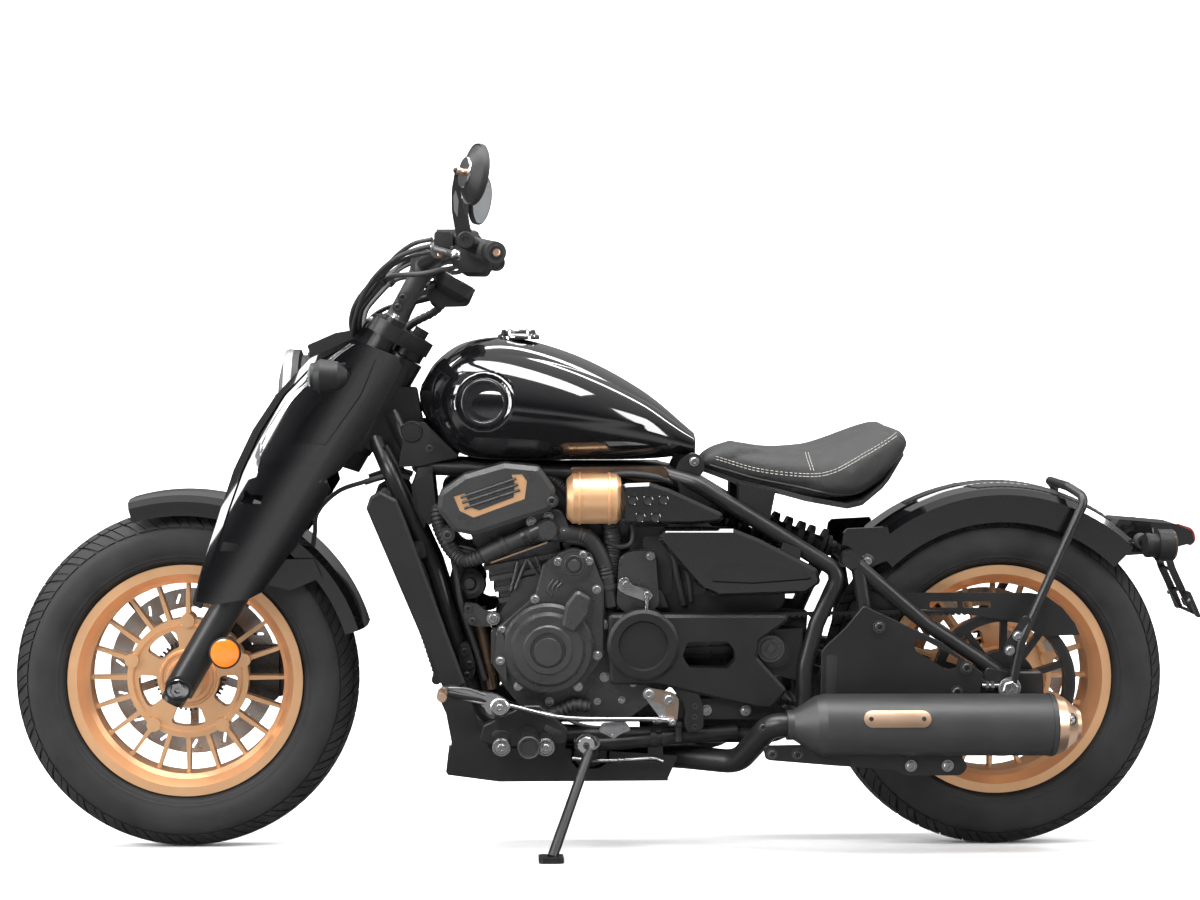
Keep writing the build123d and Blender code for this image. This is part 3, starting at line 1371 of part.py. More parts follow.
with BuildPart() as foot_controls:
    slab(CONTROL_BRACKET, 172, 148, 6, bevel=2)
    for x in (174, 95):
        cross_rod(x, 235, 13, FRAME_Y, 180)
    rod((126, 172, 242), (126, 298, 246), 16)
    for rib in range(PEG_RIBS):
        y = 196 + rib * 16
        rod((126, y, 243), (126, y + 8, 243), PEG_R)
    tube([(182, 178, 306), (182, 196, 306), (277, 206, 326), (277, 250, 326)], 7, 9)
    slab([(182, 258), (196, 306), (182, 320), (168, 306)], 184, 172)
    clear_of_frame()
    both_sides()
save(foot_controls, "foot_controls")

with BuildPart() as shift_linkage:
    tube([(168, 186, 300), (60, 186, 276), (-90, 170, 270), (-132, 160, 268)], 4, 60)
    slab([(-122, 262), (-138, 256), (-146, 268), (-110, 306), (-96, 312), (-90, 304)], 158, 150, 3)
    cross_rod(-102, 306, 8, CASE_HALF + SEAT_GAP, 152)
save(shift_linkage, "shift_linkage")

with BuildPart() as rear_caliper:
    with BuildSketch(side_plane(-48)) as rear_side:
        with Locations((REAR.X + 133, REAR.Z - 53)):
            RectangleRounded(74, 86, 12)
    extrude(rear_side.sketch, amount=48)
    clear_of_disc(REAR, 40)
    slab([(-640, 300), (-600, 300), (-600, 350), (-640, 350)], -84, -ARM_Y + ARM_R + 2 + SEAT_GAP)
save(rear_caliper, "rear_caliper")

with BuildPart() as side_stand:
    rod(STAND_PIVOT, STAND_FOOT, STAND_R)
    rod(STAND_PIVOT - STAND_AXIS * 10, STAND_PIVOT + STAND_AXIS * 10, 15)
    rod(STAND_PIVOT - STAND_AXIS * 12, STAND_PIVOT + STAND_AXIS * 12, STAND_PIN_R + SEAT_GAP, Mode.SUBTRACT)
    sole = Vector(STAND_FOOT.X + 2, STAND_FOOT.Y, STAND_FOOT.Y * tan(radians(LEAN)))
    with BuildSketch(Plane(origin=sole, z_dir=(0, -sin(radians(LEAN)), cos(radians(LEAN))))) as pad:
        RectangleRounded(70, 44, 10)
    extrude(pad.sketch, amount=10)
save(side_stand, "side_stand")
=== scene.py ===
# %% [markdown]
# # A low cruiser motorcycle, leaning on its side stand
#
# The solids of this motorcycle were made as a CAD model and packed. This script loads them
# as a fixed frame, gives every solid a finish, and builds the soft and finely detailed pieces
# around them: the padded seat, the treaded tyres, the cables, the fasteners and the trim.

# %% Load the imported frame
import bpy, bmesh
from math import sin, cos, pi, radians, hypot, atan2, sqrt
from mathutils import Vector, Matrix
from mathutils.bvhtree import BVHTree


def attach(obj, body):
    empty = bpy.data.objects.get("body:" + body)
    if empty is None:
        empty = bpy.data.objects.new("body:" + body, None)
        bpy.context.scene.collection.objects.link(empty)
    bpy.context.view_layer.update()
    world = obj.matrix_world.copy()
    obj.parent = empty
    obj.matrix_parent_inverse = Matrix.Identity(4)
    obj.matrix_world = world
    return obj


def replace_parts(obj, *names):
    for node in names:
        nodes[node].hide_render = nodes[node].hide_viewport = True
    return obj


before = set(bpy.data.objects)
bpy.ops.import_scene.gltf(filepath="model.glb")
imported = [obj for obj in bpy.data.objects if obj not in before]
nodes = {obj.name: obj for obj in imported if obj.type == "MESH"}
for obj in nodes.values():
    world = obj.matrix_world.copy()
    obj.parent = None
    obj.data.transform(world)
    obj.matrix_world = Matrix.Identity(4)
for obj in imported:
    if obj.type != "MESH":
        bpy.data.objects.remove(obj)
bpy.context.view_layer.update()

# %% [markdown]
# ## Drawing upright, standing at a lean
#
# It is far easier to draw a motorcycle that stands upright, in millimetres, with x forward
# and y to its left. The real one rests 8 degrees over on its side stand. So every point goes
# through one small function, which leans it, shifts it and turns it into metres. A piece
# drawn this way keeps its object at the origin, with its place in its mesh.

# %% The lean
LEAN = radians(8.0)
SHIFT = Vector((30.0, -172.0, 0.0))
LEAN_TURN = Matrix(((1, 0, 0), (0, cos(LEAN), sin(LEAN)), (0, -sin(LEAN), cos(LEAN))))
STAND = Matrix.Scale(0.001, 4) @ Matrix.Translation(SHIFT) @ LEAN_TURN.to_4x4()


def stand(point):
    """An upright point in millimetres, as it stands, in metres."""
    return (LEAN_TURN @ Vector(point) + SHIFT) / 1000.0


def stand_direction(direction):
    """An upright direction, as it stands."""
    return (LEAN_TURN @ Vector(direction)).normalized()


print("front axle stands at", [round(v, 3) for v in stand((761, 0, 320.2))])

# %% [markdown]
# ## The camera
#
# The camera is a long lens about four metres to the left of the motorcycle. Its place was
# worked out for the upright motorcycle, so it leans with it, and the wheels come out as the
# ellipses that they should be. Its three axes are written out as a matrix: right, up, and
# back, which is the way Blender's camera looks from.

# %% Camera
EYE = Vector((179.46, 4015.75, 1020.06))
YAW, PITCH, ROLL = 0.047, -0.067, 0.007
SENSOR_MM, FOCAL_PIXELS, PICTURE_PIXELS = 36.0, 2138.6, 1200.0
right, up, ahead = Vector((-1, 0, 0)), Vector((0, 0, 1)), Vector((0, -1, 0))
right, ahead = right * cos(YAW) - ahead * sin(YAW), ahead * cos(YAW) + right * sin(YAW)
ahead, up = ahead * cos(PITCH) + up * sin(PITCH), up * cos(PITCH) - ahead * sin(PITCH)
right, up = right * cos(ROLL) + up * sin(ROLL), up * cos(ROLL) - right * sin(ROLL)


def into_scene(name, data):
    """Make an object of some data and link it."""
    obj = bpy.data.objects.new(name, data)
    bpy.context.scene.collection.objects.link(obj)
    return obj


camera = into_scene("camera", bpy.data.cameras.new("camera"))
camera.data.lens = SENSOR_MM * FOCAL_PIXELS / PICTURE_PIXELS
camera.data.clip_end = 50.0
turn = Matrix([stand_direction(axis) for axis in (right, up, -ahead)]).transposed()
camera.matrix_world = Matrix.Translation(stand(EYE)) @ turn.to_4x4()
bpy.context.scene.camera = camera
print("camera at", [round(v, 2) for v in camera.location], "lens", round(camera.data.lens, 1))

# %% [markdown]
# ## The studio
#
# Black gloss paint has hardly any colour of its own: what we see is the room mirrored in it.
# So the lights are large soft panels, whose mirror images draw the long bright lines along
# the tank and the fenders. The floor runs up into a wall behind in one sweep, so that no
# horizon shows, and it is kept out of the mirror images, or the black would turn milky.

# %% Floor and wall
WALL_FOOT, SWEEP_R, HALF_WIDE, FAR = -2.6, 2.2, 12.0, 9.0
sweep = [(FAR, 0.0), (WALL_FOOT, 0.0)]
sweep += [(WALL_FOOT - SWEEP_R * sin(radians(a)), SWEEP_R - SWEEP_R * cos(radians(a))) for a in range(6, 91, 6)]
sweep += [(WALL_FOOT - SWEEP_R, FAR)]
rows = [(2 * i, 2 * i + 1, 2 * i + 3, 2 * i + 2) for i in range(len(sweep) - 1)]
mesh = bpy.data.meshes.new("studio_floor")
mesh.from_pydata([(x, y, z) for y, z in sweep for x in (-HALF_WIDE, HALF_WIDE)], [], rows)
mesh.shade_smooth()
floor = into_scene("studio_floor", mesh)
floor.visible_glossy = False
print("floor sweep of", len(rows), "strips")

# %% Lights
PANELS = {"panel_above": ((0.3, 0.9, 3.1), (0.0, 0.0, 0.6), (4.6, 1.1), 210),
          "panel_camera": ((2.2, 3.9, 2.7), (0.1, 0.0, 0.5), (2.4, 1.3), 190),
          "panel_front": ((3.8, 1.7, 1.3), (0.4, 0.0, 0.5), (1.0, 2.4), 110),
          "panel_rear": ((-3.6, 2.0, 1.6), (-0.4, 0.0, 0.5), (1.0, 2.2), 80),
          "panel_wall": ((0.0, -1.6, 4.2), (0.0, -4.4, 1.6), (18.0, 1.2), 1000)}
for name, (place, target, size, watts) in PANELS.items():
    light = bpy.data.lights.new(name, "AREA")
    light.shape = "RECTANGLE"
    light.size, light.size_y = size
    light.energy = watts
    lamp = into_scene(name, light)
    lamp.location = place
    lamp.rotation_euler = (Vector(target) - Vector(place)).to_track_quat("-Z", "Y").to_euler()
print("lights:", list(PANELS))

# %% [markdown]
# ## The sky that the paint mirrors
#
# The world is a ramp from the ground up: bright low down, nearly black at the horizon, grey
# above. The camera doesn't see it. It sees an even pale grey, so that the picture stays plain.

# %% Sky
def add(tree, kind, **values):
    """A shader node; each value is linked if it is a socket, or else set."""
    return fill(tree, tree.nodes.new("ShaderNode" + kind), **values)


def fill(tree, node, **values):
    for name, value in values.items():
        socket = node.inputs[name.replace("_", " ")]
        if isinstance(value, bpy.types.NodeSocket):
            tree.links.new(value, socket)
        else:
            socket.default_value = value
    return node


SKY_GREYS = ((0.20, 0.06), (0.26, 0.85), (0.33, 0.85), (0.42, 0.20), (0.475, 0.03), (0.53, 0.04), (0.72, 0.45))
world = bpy.data.worlds.new("studio")
world.use_nodes = True
sky = world.node_tree
direction = add(sky, "TexCoord").outputs["Generated"]
height = add(sky, "SeparateXYZ", Vector=direction).outputs["Z"]
from_ground = add(sky, "MapRange", Value=height, From_Min=-1.0).outputs["Result"]
shade = add(sky, "ValToRGB", Fac=from_ground)
for place, grey in SKY_GREYS:
    shade.color_ramp.elements.new(place).color = (grey, grey, grey, 1)
shade.color_ramp.elements[0].color = (0.05, 0.05, 0.05, 1)
shade.color_ramp.elements[-1].color = (0.9, 0.9, 0.9, 1)
lit = fill(sky, sky.nodes["Background"], Color=shade.outputs["Color"], Strength=0.75)
seen = add(sky, "Background", Color=(0.86, 0.86, 0.86, 1))
either = add(sky, "MixShader", Fac=add(sky, "LightPath").outputs["Is Camera Ray"])
sky.links.new(lit.outputs["Background"], either.inputs[1])
sky.links.new(seen.outputs["Background"], either.inputs[2])
fill(sky, sky.nodes["World Output"], Surface=either.outputs["Shader"])
bpy.context.scene.world = world
bpy.context.scene.view_settings.view_transform = "Standard"
print("sky of", len(shade.color_ramp.elements), "greys")

# %% [markdown]
# ## Finishes
#
# A finish on a real vehicle is never one flat colour. Paint has a faint orange-peel ripple,
# powder coat has a fine grain, cast metal is pitted, and everything is a little duller where
# hands and dust reach it. One function builds all of these: a principled shader whose colour
# and roughness wander with a large soft noise, and whose surface is rippled by a fine one.
# Numbers that stay the same all over are set on the shader itself.

# %% One function for every finish
finishes = {}


def finish(name, colour, roughness, metal=0.0, coat=0.0, grain=900.0, depth=0.0, vary=0.06, tint=0.12,
           patch=9.0, sheen=0.0, stretch=(1, 1, 1), specular=0.5):
    """A painted, plated, moulded or bare surface.

    grain and depth: how fine and how strong the surface ripple is. vary and tint: how far the
    roughness and the colour wander over patches of about 1 / patch metres."""
    material = bpy.data.materials.new(name)
    material.use_nodes = True
    tree = material.node_tree
    shader = fill(tree, tree.nodes["Principled BSDF"], Metallic=metal, Coat_Weight=coat, Coat_Roughness=0.04,
                  Sheen_Weight=sheen, Specular_IOR_Level=specular)
    where = add(tree, "TexCoord").outputs["Object"]
    stretched = add(tree, "Mapping", Vector=where, Scale=stretch)
    cloud = add(tree, "TexNoise", Vector=where, Scale=patch, Detail=6.0, Roughness=0.65).outputs["Fac"]
    dull = add(tree, "MapRange", Value=cloud, From_Min=0.3, From_Max=0.7,
               To_Min=max(roughness - vary, 0.02), To_Max=roughness + vary)
    shades = add(tree, "ValToRGB", Fac=cloud)
    for element, place, factor in zip(shades.color_ramp.elements, (0.32, 0.68), (1 - tint, 1 + tint)):
        element.position = place
        element.color = (*[min(c * factor, 1) for c in colour], 1)
    fill(tree, shader, Roughness=dull.outputs["Result"], Base_Color=shades.outputs["Color"])
    if depth > 0:
        ripple = add(tree, "TexNoise", Vector=stretched.outputs["Vector"], Scale=grain, Detail=3.0)
        bump = add(tree, "Bump", Height=ripple.outputs["Fac"], Strength=depth, Distance=0.0006)
        fill(tree, shader, Normal=bump.outputs["Normal"])
    finishes[name] = material
    return material


print("ready to mix finishes")

# %% Paints and plastics
finish("gloss_black", (0.0035, 0.0035, 0.004), 0.09, coat=1.0, grain=160, depth=0.03, vary=0.03, patch=5)
finish("frame_black", (0.009, 0.009, 0.0095), 0.34, grain=1400, depth=0.25, vary=0.05, specular=0.4)
finish("moulded_black", (0.0085, 0.0085, 0.009), 0.42, grain=1100, depth=0.55, vary=0.06, specular=0.32)
finish("engine_black", (0.022, 0.022, 0.0225), 0.30, grain=520, depth=0.45, vary=0.08, patch=14, specular=0.42)
finish("muffler_black", (0.020, 0.020, 0.0205), 0.42, grain=1600, depth=0.35, vary=0.05)
finish("medallion_black", (0.006, 0.006, 0.007), 0.22, grain=300, depth=0.1, vary=0.04)
finish("rough_black", (0.011, 0.011, 0.0115), 0.58, grain=420, depth=0.9, vary=0.08, patch=20)
print(len(finishes), "black finishes")

# %% Metals
finish("wheel_bronze", (0.72, 0.42, 0.225), 0.33, metal=0.75, grain=900, depth=0.10, vary=0.04, tint=0.06)
finish("champagne", (0.76, 0.51, 0.355), 0.32, metal=0.95, grain=1200, depth=0.08, vary=0.05, tint=0.05,
       stretch=(0.08, 1, 1))
finish("chrome", (0.46, 0.46, 0.47), 0.10, metal=1.0, vary=0.03, tint=0.04)
finish("zinc_steel", (0.45, 0.45, 0.46), 0.30, metal=1.0, grain=1500, depth=0.2, vary=0.10, tint=0.15, patch=40)
finish("pipe_bronze", (0.15, 0.10, 0.070), 0.32, metal=0.9, grain=700, depth=0.2, vary=0.08, tint=0.2, patch=14)
finish("champagne_dull", (0.36, 0.27, 0.21), 0.40, metal=0.9, grain=900, depth=0.2, vary=0.08)
finish("bezel_silver", (0.26, 0.26, 0.27), 0.42, metal=1.0, grain=900, depth=0.1, vary=0.05)
# The next finish is the bright band on the fork covers' leading edge: a painted highlight.
finish("painted_highlight_silver", (0.50, 0.50, 0.51), 0.16, metal=0.9, coat=1.0, vary=0.04)
finish("zinc_dark", (0.13, 0.125, 0.12), 0.36, metal=0.9, grain=900, depth=0.25, vary=0.1, patch=30)
finish("core_alloy", (0.035, 0.035, 0.037), 0.45, metal=0.6, grain=900, depth=0.2)
finish("brushed_alloy", (0.48, 0.48, 0.49), 0.28, metal=1.0, grain=900, depth=0.3, stretch=(0.05, 1, 1))
finish("disc_steel", (0.50, 0.49, 0.48), 0.26, metal=1.0, grain=1400, depth=0.25, vary=0.07, tint=0.1)
print(len(finishes), "finishes with the metals")

# %% Rubber, leather, lenses
finish("tyre_rubber", (0.013, 0.013, 0.0135), 0.60, grain=1800, depth=0.5, vary=0.08, tint=0.25, patch=16,
       specular=0.3)
finish("rubber", (0.012, 0.012, 0.013), 0.56, grain=1500, depth=0.4, vary=0.08)
finish("seat_leather", (0.011, 0.011, 0.0115), 0.46, grain=1300, depth=0.9, vary=0.08, tint=0.2, patch=12,
       sheen=0.05, specular=0.32)
finish("dark_lens", (0.010, 0.010, 0.011), 0.10, coat=1.0, vary=0.03)
finish("clear_lens", (0.16, 0.16, 0.165), 0.18, coat=0.4, vary=0.03, metal=0.2)
finish("amber_smoke", (0.06, 0.035, 0.02), 0.12, coat=1.0, vary=0.03)
finish("red_lens", (0.16, 0.004, 0.004), 0.12, coat=1.0, vary=0.03)
finish("amber_lens", (0.55, 0.13, 0.01), 0.16, coat=1.0, vary=0.04)
# The mirror glass is partly a real mirror and partly a light grey colour: a painted reflection.
finish("mirror_glass", (0.62, 0.64, 0.66), 0.10, metal=0.7, vary=0.01, tint=0.02)
finish("seal_silver", (0.55, 0.55, 0.56), 0.22, metal=1.0, vary=0.05)
print(len(finishes), "finishes in all")

# %% [markdown]
# ## Dressing the CAD solids
#
# Each solid keeps its own shape and only gets a finish. The table says which.

# %% Which solid wears what
WEARS = {
    "gloss_black": ["side_covers", "fuel_tank", "rear_fender", "front_fender", "fork_covers", "mirrors", "tail_lamp"],
    "frame_black": ["frame", "swingarm", "fender_hoop", "side_stand", "yokes", "fork_tubes", "fork_sliders",
                    "handlebar", "foot_controls", "rear_pulley", "exhaust_pipes", "shock"],
    "moulded_black": ["neck_covers", "radiator", "radiator_shroud", "belly_pan", "belt_cover", "belt_guard",
                      "swingarm_plate", "seat_pan", "plate_bracket", "gauge", "headlamp",
                      "rear_signals", "front_signals"],
    "engine_black": ["engine_block", "engine_covers", "valve_covers", "rear_caliper", "front_caliper"],
    "muffler_black": ["mufflers"],
    "wheel_bronze": ["front_rim", "rear_rim", "intake_canisters", "valve_inlays"],
    "champagne": ["muffler_caps"],
    "chrome": ["filler_cap"],
    "brushed_alloy": ["shift_linkage"],
    "disc_steel": ["front_disc", "rear_disc"],
    "tyre_rubber": ["front_tyre", "rear_tyre"],
    "rubber": ["drive_belt", "bar_controls", "bar_cables"],
    "seat_leather": ["seat_pad"],
    }
for name, wearers in WEARS.items():
    for node in wearers:
        nodes[node].data.materials.clear()
        nodes[node].data.materials.append(finishes[name])
bare = set(nodes) - {node for wearers in WEARS.values() for node in wearers}
print("solids without a finish:", sorted(bare))

# %% Plain floor colour
paper = finish("floor_paper", (0.80, 0.80, 0.80), 0.85, vary=0.02, tint=0.004, patch=0.7)
floor.data.materials.append(paper)
print("floor is", paper.name)

# %% [markdown]
# ## Making pieces
#
# A small workshop first. Every piece is drawn upright in millimetres with one of a few
# tools: a lathe for what is round, a plate cutter for flat castings and covers, and a hose
# bender for what is bent. `settle` leans the finished piece over, shades it, gives it its
# finish and says which body it rides on.

# %% Settle a piece on its body
HANDS, LEFT, MIDDLE = ((1, "_left"), (-1, "_right")), ((1, "_left"),), ((1, ""),)
OUT = Vector((0, 1, 0))


def flip(point, hand):
    """A place or direction on the left, or its mirror image on the right."""
    return Vector((point[0], point[1] * hand, point[2]))


def settle(obj, body, wear, angle=32):
    """Lean a piece drawn upright in millimetres, shade it, and let it ride on its body."""
    obj.data.transform(STAND)
    obj.data.shade_smooth()
    obj.data.set_sharp_from_angle(angle=radians(angle))
    obj.data.materials.clear()
    obj.data.materials.append(finishes[wear])
    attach(obj, body)
    return obj


def from_bmesh(name, bm):
    """Close a bmesh off as an object, with its faces pointing outwards."""
    bmesh.ops.remove_doubles(bm, verts=bm.verts, dist=0.001)
    bmesh.ops.recalc_face_normals(bm, faces=bm.faces)
    mesh = bpy.data.meshes.new(name)
    bm.to_mesh(mesh)
    bm.free()
    return into_scene(name, mesh)


def join_rings(bm, rings, cap=True):
    """Skin a row of closed rings of vertices, and close both ends."""
    for a, b in zip(rings, rings[1:]):
        for k in range(len(a)):
            j = (k + 1) % len(a)
            bm.faces.new((a[k], a[j], b[j], b[k]))
    if cap:
        bm.faces.new(rings[0])
        bm.faces.new(rings[-1])


print("one metre is", 1 / STAND.to_scale().x, "drawing units")

# %% The lathe
def lathe(name, profile, centre, axis=OUT, steps=64):
    """Turn (radius, along) points about an axis: a body if both ends lie on it, else a ring."""
    axis = Vector(axis).normalized()
    side = axis.orthogonal().normalized()
    other = axis.cross(side)
    spread = [side * cos(2 * pi * i / steps) + other * sin(2 * pi * i / steps) for i in range(steps)]
    bm = bmesh.new()
    rings = []
    for radius, along in profile:
        hub = Vector(centre) + axis * along
        rings.append([bm.verts.new(hub + out * radius) for out in spread] if radius else [bm.verts.new(hub)] * steps)
    pairs = list(zip(rings, rings[1:]))
    if profile[0][0] or profile[-1][0]:
        pairs.append((rings[-1], rings[0]))
    for a, b in pairs:
        for i in range(steps):
            j = (i + 1) % steps
            corners = list(dict.fromkeys((a[i], a[j], b[j], b[i])))
            if len(corners) > 2:
                bm.faces.new(corners)
    return from_bmesh(name, bm)


print("the lathe is ready")

# %% The plate cutter
def plate(name, outline, outer, inner, bevel=0.0):
    """Cut an (x, z) outline between two distances from the middle, with its edges bevelled."""
    bm = bmesh.new()
    near, far = ([bm.verts.new((x, y, z)) for x, z in outline] for y in (outer, inner))
    bm.faces.new(near)
    bm.faces.new(list(reversed(far)))
    for i in range(len(outline)):
        j = (i + 1) % len(outline)
        bm.faces.new((near[i], far[i], far[j], near[j]))
    if bevel:
        rim = [e for e in bm.edges if e.verts[0] in near and e.verts[1] in near]
        bmesh.ops.bevel(bm, geom=rim, offset=bevel, segments=3, affect="EDGES", profile=0.6)
    return from_bmesh(name, bm)


def rounded(outline, radius, steps=4):
    """Round the corners of an outline."""
    points = [Vector((x, z)) for x, z in outline]
    result = []
    for before, corner, after in zip(points[-1:] + points[:-1], points, points[1:] + points[:1]):
        into, out = before - corner, after - corner
        reach = min(radius, into.length * 0.45, out.length * 0.45)
        start, end = corner + into.normalized() * reach, corner + out.normalized() * reach
        for k in range(steps + 1):
            t = k / steps
            result.append((1 - t) ** 2 * start + 2 * t * (1 - t) * corner + t * t * end)
    return [tuple(p) for p in result]


print("the plate cutter is ready")

# %% The hose bender
def smooth_path(points, steps=8):
    """A soft line through a few points."""
    points = [Vector(p) for p in points]
    padded = [2 * points[0] - points[1]] + points + [2 * points[-1] - points[-2]]
    line = []
    for a, b, c, d in zip(padded, padded[1:], padded[2:], padded[3:]):
        for k in range(steps):
            t = k / steps
            line.append(0.5 * (2 * b + (c - a) * t + (2 * a - 5 * b + 4 * c - d) * t ** 2
                               + (3 * b - a - 3 * c + d) * t ** 3))
    return line + [points[-1]]


def hose(name, points, radius, sides=16, steps=8, swell=None):
    """A bent round piece with closed ends; swell(t) may widen or narrow it along its way."""
    line = smooth_path(points, steps)
    side = (line[1] - line[0]).orthogonal().normalized()
    bm = bmesh.new()
    rings = []
    for i, here in enumerate(line):
        run = (line[min(i + 1, len(line) - 1)] - line[max(i - 1, 0)]).normalized()
        side = (side - run * side.dot(run)).normalized()
        other = run.cross(side)
        r = radius * (swell(i / (len(line) - 1)) if swell else 1)
        rings.append([bm.verts.new(here + (side * cos(2 * pi * k / sides) + other * sin(2 * pi * k / sides)) * r)
                      for k in range(sides)])
    join_rings(bm, rings)
    return from_bmesh(name, bm)


print("the hose bender is ready")

# %% [markdown]
# ## Pieces by the pair
#
# Most things come twice, once on each side, and many come in numbered rows. Three short
# functions turn, cut or bend a piece for each hand and settle it at once. Given a list of
# places or lines, they number the pieces. MIDDLE as the hands makes one piece only.

# %% Turned, cut and bent pieces
def numbered(things, one):
    """(suffix, thing) pairs: no suffix if there is one thing only, else _0, _1 and so on."""
    return [("", things)] if one else [(f"_{k}", thing) for k, thing in enumerate(things)]


def turned(name, wear, profile, place, steps=40, axis=OUT, body="chassis", hands=HANDS, angle=32):
    """Lathe work at one place, or at each of a list of places."""
    for hand, side in hands:
        for number, spot in numbered(place, isinstance(place[0], (int, float))):
            made = lathe(name + side + number, profile, flip(spot, hand), flip(axis, hand), steps)
            settle(made, body, wear, angle)
    return made


def cut(name, wear, outline, corner, outer, inner, edge=0.0, body="chassis", hands=HANDS):
    """A plate with rounded corners and bevelled edges."""
    for hand, side in hands:
        made = settle(plate(name + side, rounded(outline, corner), outer * hand, inner * hand, edge), body, wear)
    return made


def bent(name, wear, points, radius, sides=12, steps=8, swell=None, body="chassis", hands=HANDS, angle=32):
    """A hose along one line of points, or along each of a list of lines."""
    for hand, side in hands:
        for number, line in numbered(points, isinstance(points[0][0], (int, float))):
            thick = radius if isinstance(radius, (int, float)) else radius[int(number[1:])]
            made = hose(name + side + number, [flip(p, hand) for p in line], thick, sides, steps, swell)
            settle(made, body, wear, angle)
    return made


def corrugated(count, depth=0.09, smooth_until=0.0):
    """How the radius of a corrugated hose swells along its way."""
    return lambda t: 1.0 if t < smooth_until else 1 + depth * sin(2 * pi * count * t)


print("pieces can be made by the pair")

# %% [markdown]
# ## Things that repeat
#
# Bolts, tread blocks, belt teeth and stitches are one shape many times over. Geometry Nodes
# do that well: one tree puts a copy of a shape on every vertex of a mesh and turns it to the
# way a named attribute says. The tree ends in Realize Instances and Set Material. The result
# is then turned into a plain mesh, because that is what an exported model can carry.

# %% A tree that puts copies on points
def copies_tree():
    tree = bpy.data.node_groups.new("copies_on_points", "GeometryNodeTree")
    face = tree.interface
    for name, kind in (("Places", "NodeSocketGeometry"), ("Shape", "NodeSocketObject"),
                       ("Size", "NodeSocketFloat"), ("Finish", "NodeSocketMaterial")):
        face.new_socket(name, in_out="INPUT", socket_type=kind)
    face.new_socket("Copies", in_out="OUTPUT", socket_type="NodeSocketGeometry")
    add, link = tree.nodes.new, tree.links.new
    inputs, outputs = add("NodeGroupInput"), add("NodeGroupOutput")
    shape = add("GeometryNodeObjectInfo")
    facing, turn = add("GeometryNodeInputNamedAttribute"), add("GeometryNodeInputNamedAttribute")
    for node, word in ((facing, "facing"), (turn, "along")):
        node.data_type = "FLOAT_VECTOR"
        node.inputs["Name"].default_value = word
    up, aim = add("FunctionNodeAlignRotationToVector"), add("FunctionNodeAlignRotationToVector")
    up.axis, aim.axis, aim.pivot_axis = "Z", "X", "Z"
    put, solid, paint = (add("GeometryNodeInstanceOnPoints"), add("GeometryNodeRealizeInstances"),
                         add("GeometryNodeSetMaterial"))
    link(inputs.outputs["Shape"], shape.inputs["Object"])
    link(facing.outputs["Attribute"], up.inputs["Vector"])
    link(up.outputs["Rotation"], aim.inputs["Rotation"])
    link(turn.outputs["Attribute"], aim.inputs["Vector"])
    link(inputs.outputs["Places"], put.inputs["Points"])
    link(shape.outputs["Geometry"], put.inputs["Instance"])
    link(aim.outputs["Rotation"], put.inputs["Rotation"])
    link(inputs.outputs["Size"], put.inputs["Scale"])
    link(put.outputs["Instances"], solid.inputs["Geometry"])
    link(solid.outputs["Geometry"], paint.inputs["Geometry"])
    link(inputs.outputs["Finish"], paint.inputs["Material"])
    link(paint.outputs["Geometry"], outputs.inputs["Copies"])
    return tree


COPIES = copies_tree()


def copies(name, places, shape, body, wear, size=1.0, angle=32):
    """Put a shape on (place, facing, along) rows, and settle the lot as one piece."""
    mesh = bpy.data.meshes.new(name)
    mesh.from_pydata([tuple(row[0]) for row in places], [], [])
    for word, column in (("facing", 1), ("along", 2)):
        values = mesh.attributes.new(word, "FLOAT_VECTOR", "POINT")
        values.data.foreach_set("vector", [v for row in places for v in row[column]])
    obj = into_scene(name, mesh)
    modifier = obj.modifiers.new("copies", "NODES")
    modifier.node_group = COPIES
    for socket in COPIES.interface.items_tree:
        if socket.in_out == "INPUT" and socket.name != "Places":
            modifier[socket.identifier] = {"Shape": shape, "Size": size, "Finish": finishes[wear]}[socket.name]
    bpy.context.view_layer.update()
    seen = obj.evaluated_get(bpy.context.evaluated_depsgraph_get())
    obj.data = bpy.data.meshes.new_from_object(seen)
    obj.modifiers.clear()
    return settle(obj, body, wear, angle)


print("tree", COPIES.name, "has", len(COPIES.nodes), "nodes")

# %% Shapes to copy, kept out of the scene
def keep_aside(obj):
    """Take a shape out of the scene, so that only its copies show."""
    bpy.context.scene.collection.objects.unlink(obj)
    return obj


def screw_head(name, radius, height, socket):
    """A cap screw's head on its washer, with a six-sided socket."""
    bm = bmesh.new()
    ring = lambda r, z, n=24: [bm.verts.new((r * cos(2 * pi * i / n), r * sin(2 * pi * i / n), z)) for i in range(n)]
    rings = [ring(radius * 1.35, -1), ring(radius * 1.35, radius * 0.18), ring(radius, radius * 0.2),
             ring(radius, height - 0.8), ring(radius - 0.8, height), ring(socket, height)]
    join_rings(bm, rings, cap=False)
    hexagon = [bm.verts.new((socket * cos(pi * k / 3), socket * sin(pi * k / 3), height - radius * 0.55))
               for k in range(6)]
    for k in range(6):
        low = [rings[-1][(4 * k + j) % 24] for j in range(5)]
        bm.faces.new([hexagon[k]] + low + [hexagon[(k + 1) % 6]])
    bm.faces.new(hexagon)
    return keep_aside(from_bmesh(name, bm))


CAP_SCREW = screw_head("cap_screw", 5.0, 4.5, 2.6)
print("a cap screw has", len(CAP_SCREW.data.polygons), "faces")


def screws(name, places, body, wear="zinc_steel", size=1.0, facing=(0, 1, 0)):
    """Cap screws at upright places, all facing one way; along only sets how they are turned."""
    return copies(name, [(p, facing, (1, 0, 0)) for p in places], CAP_SCREW, body, wear, size)


def bolts(name, places, wear="zinc_steel", size=1.0, facing=OUT, body="chassis", hands=HANDS):
    """The same cap screws for each hand."""
    for hand, side in hands:
        screws(name + side, [flip(p, hand) for p in places], body, wear, size, flip(facing, hand))


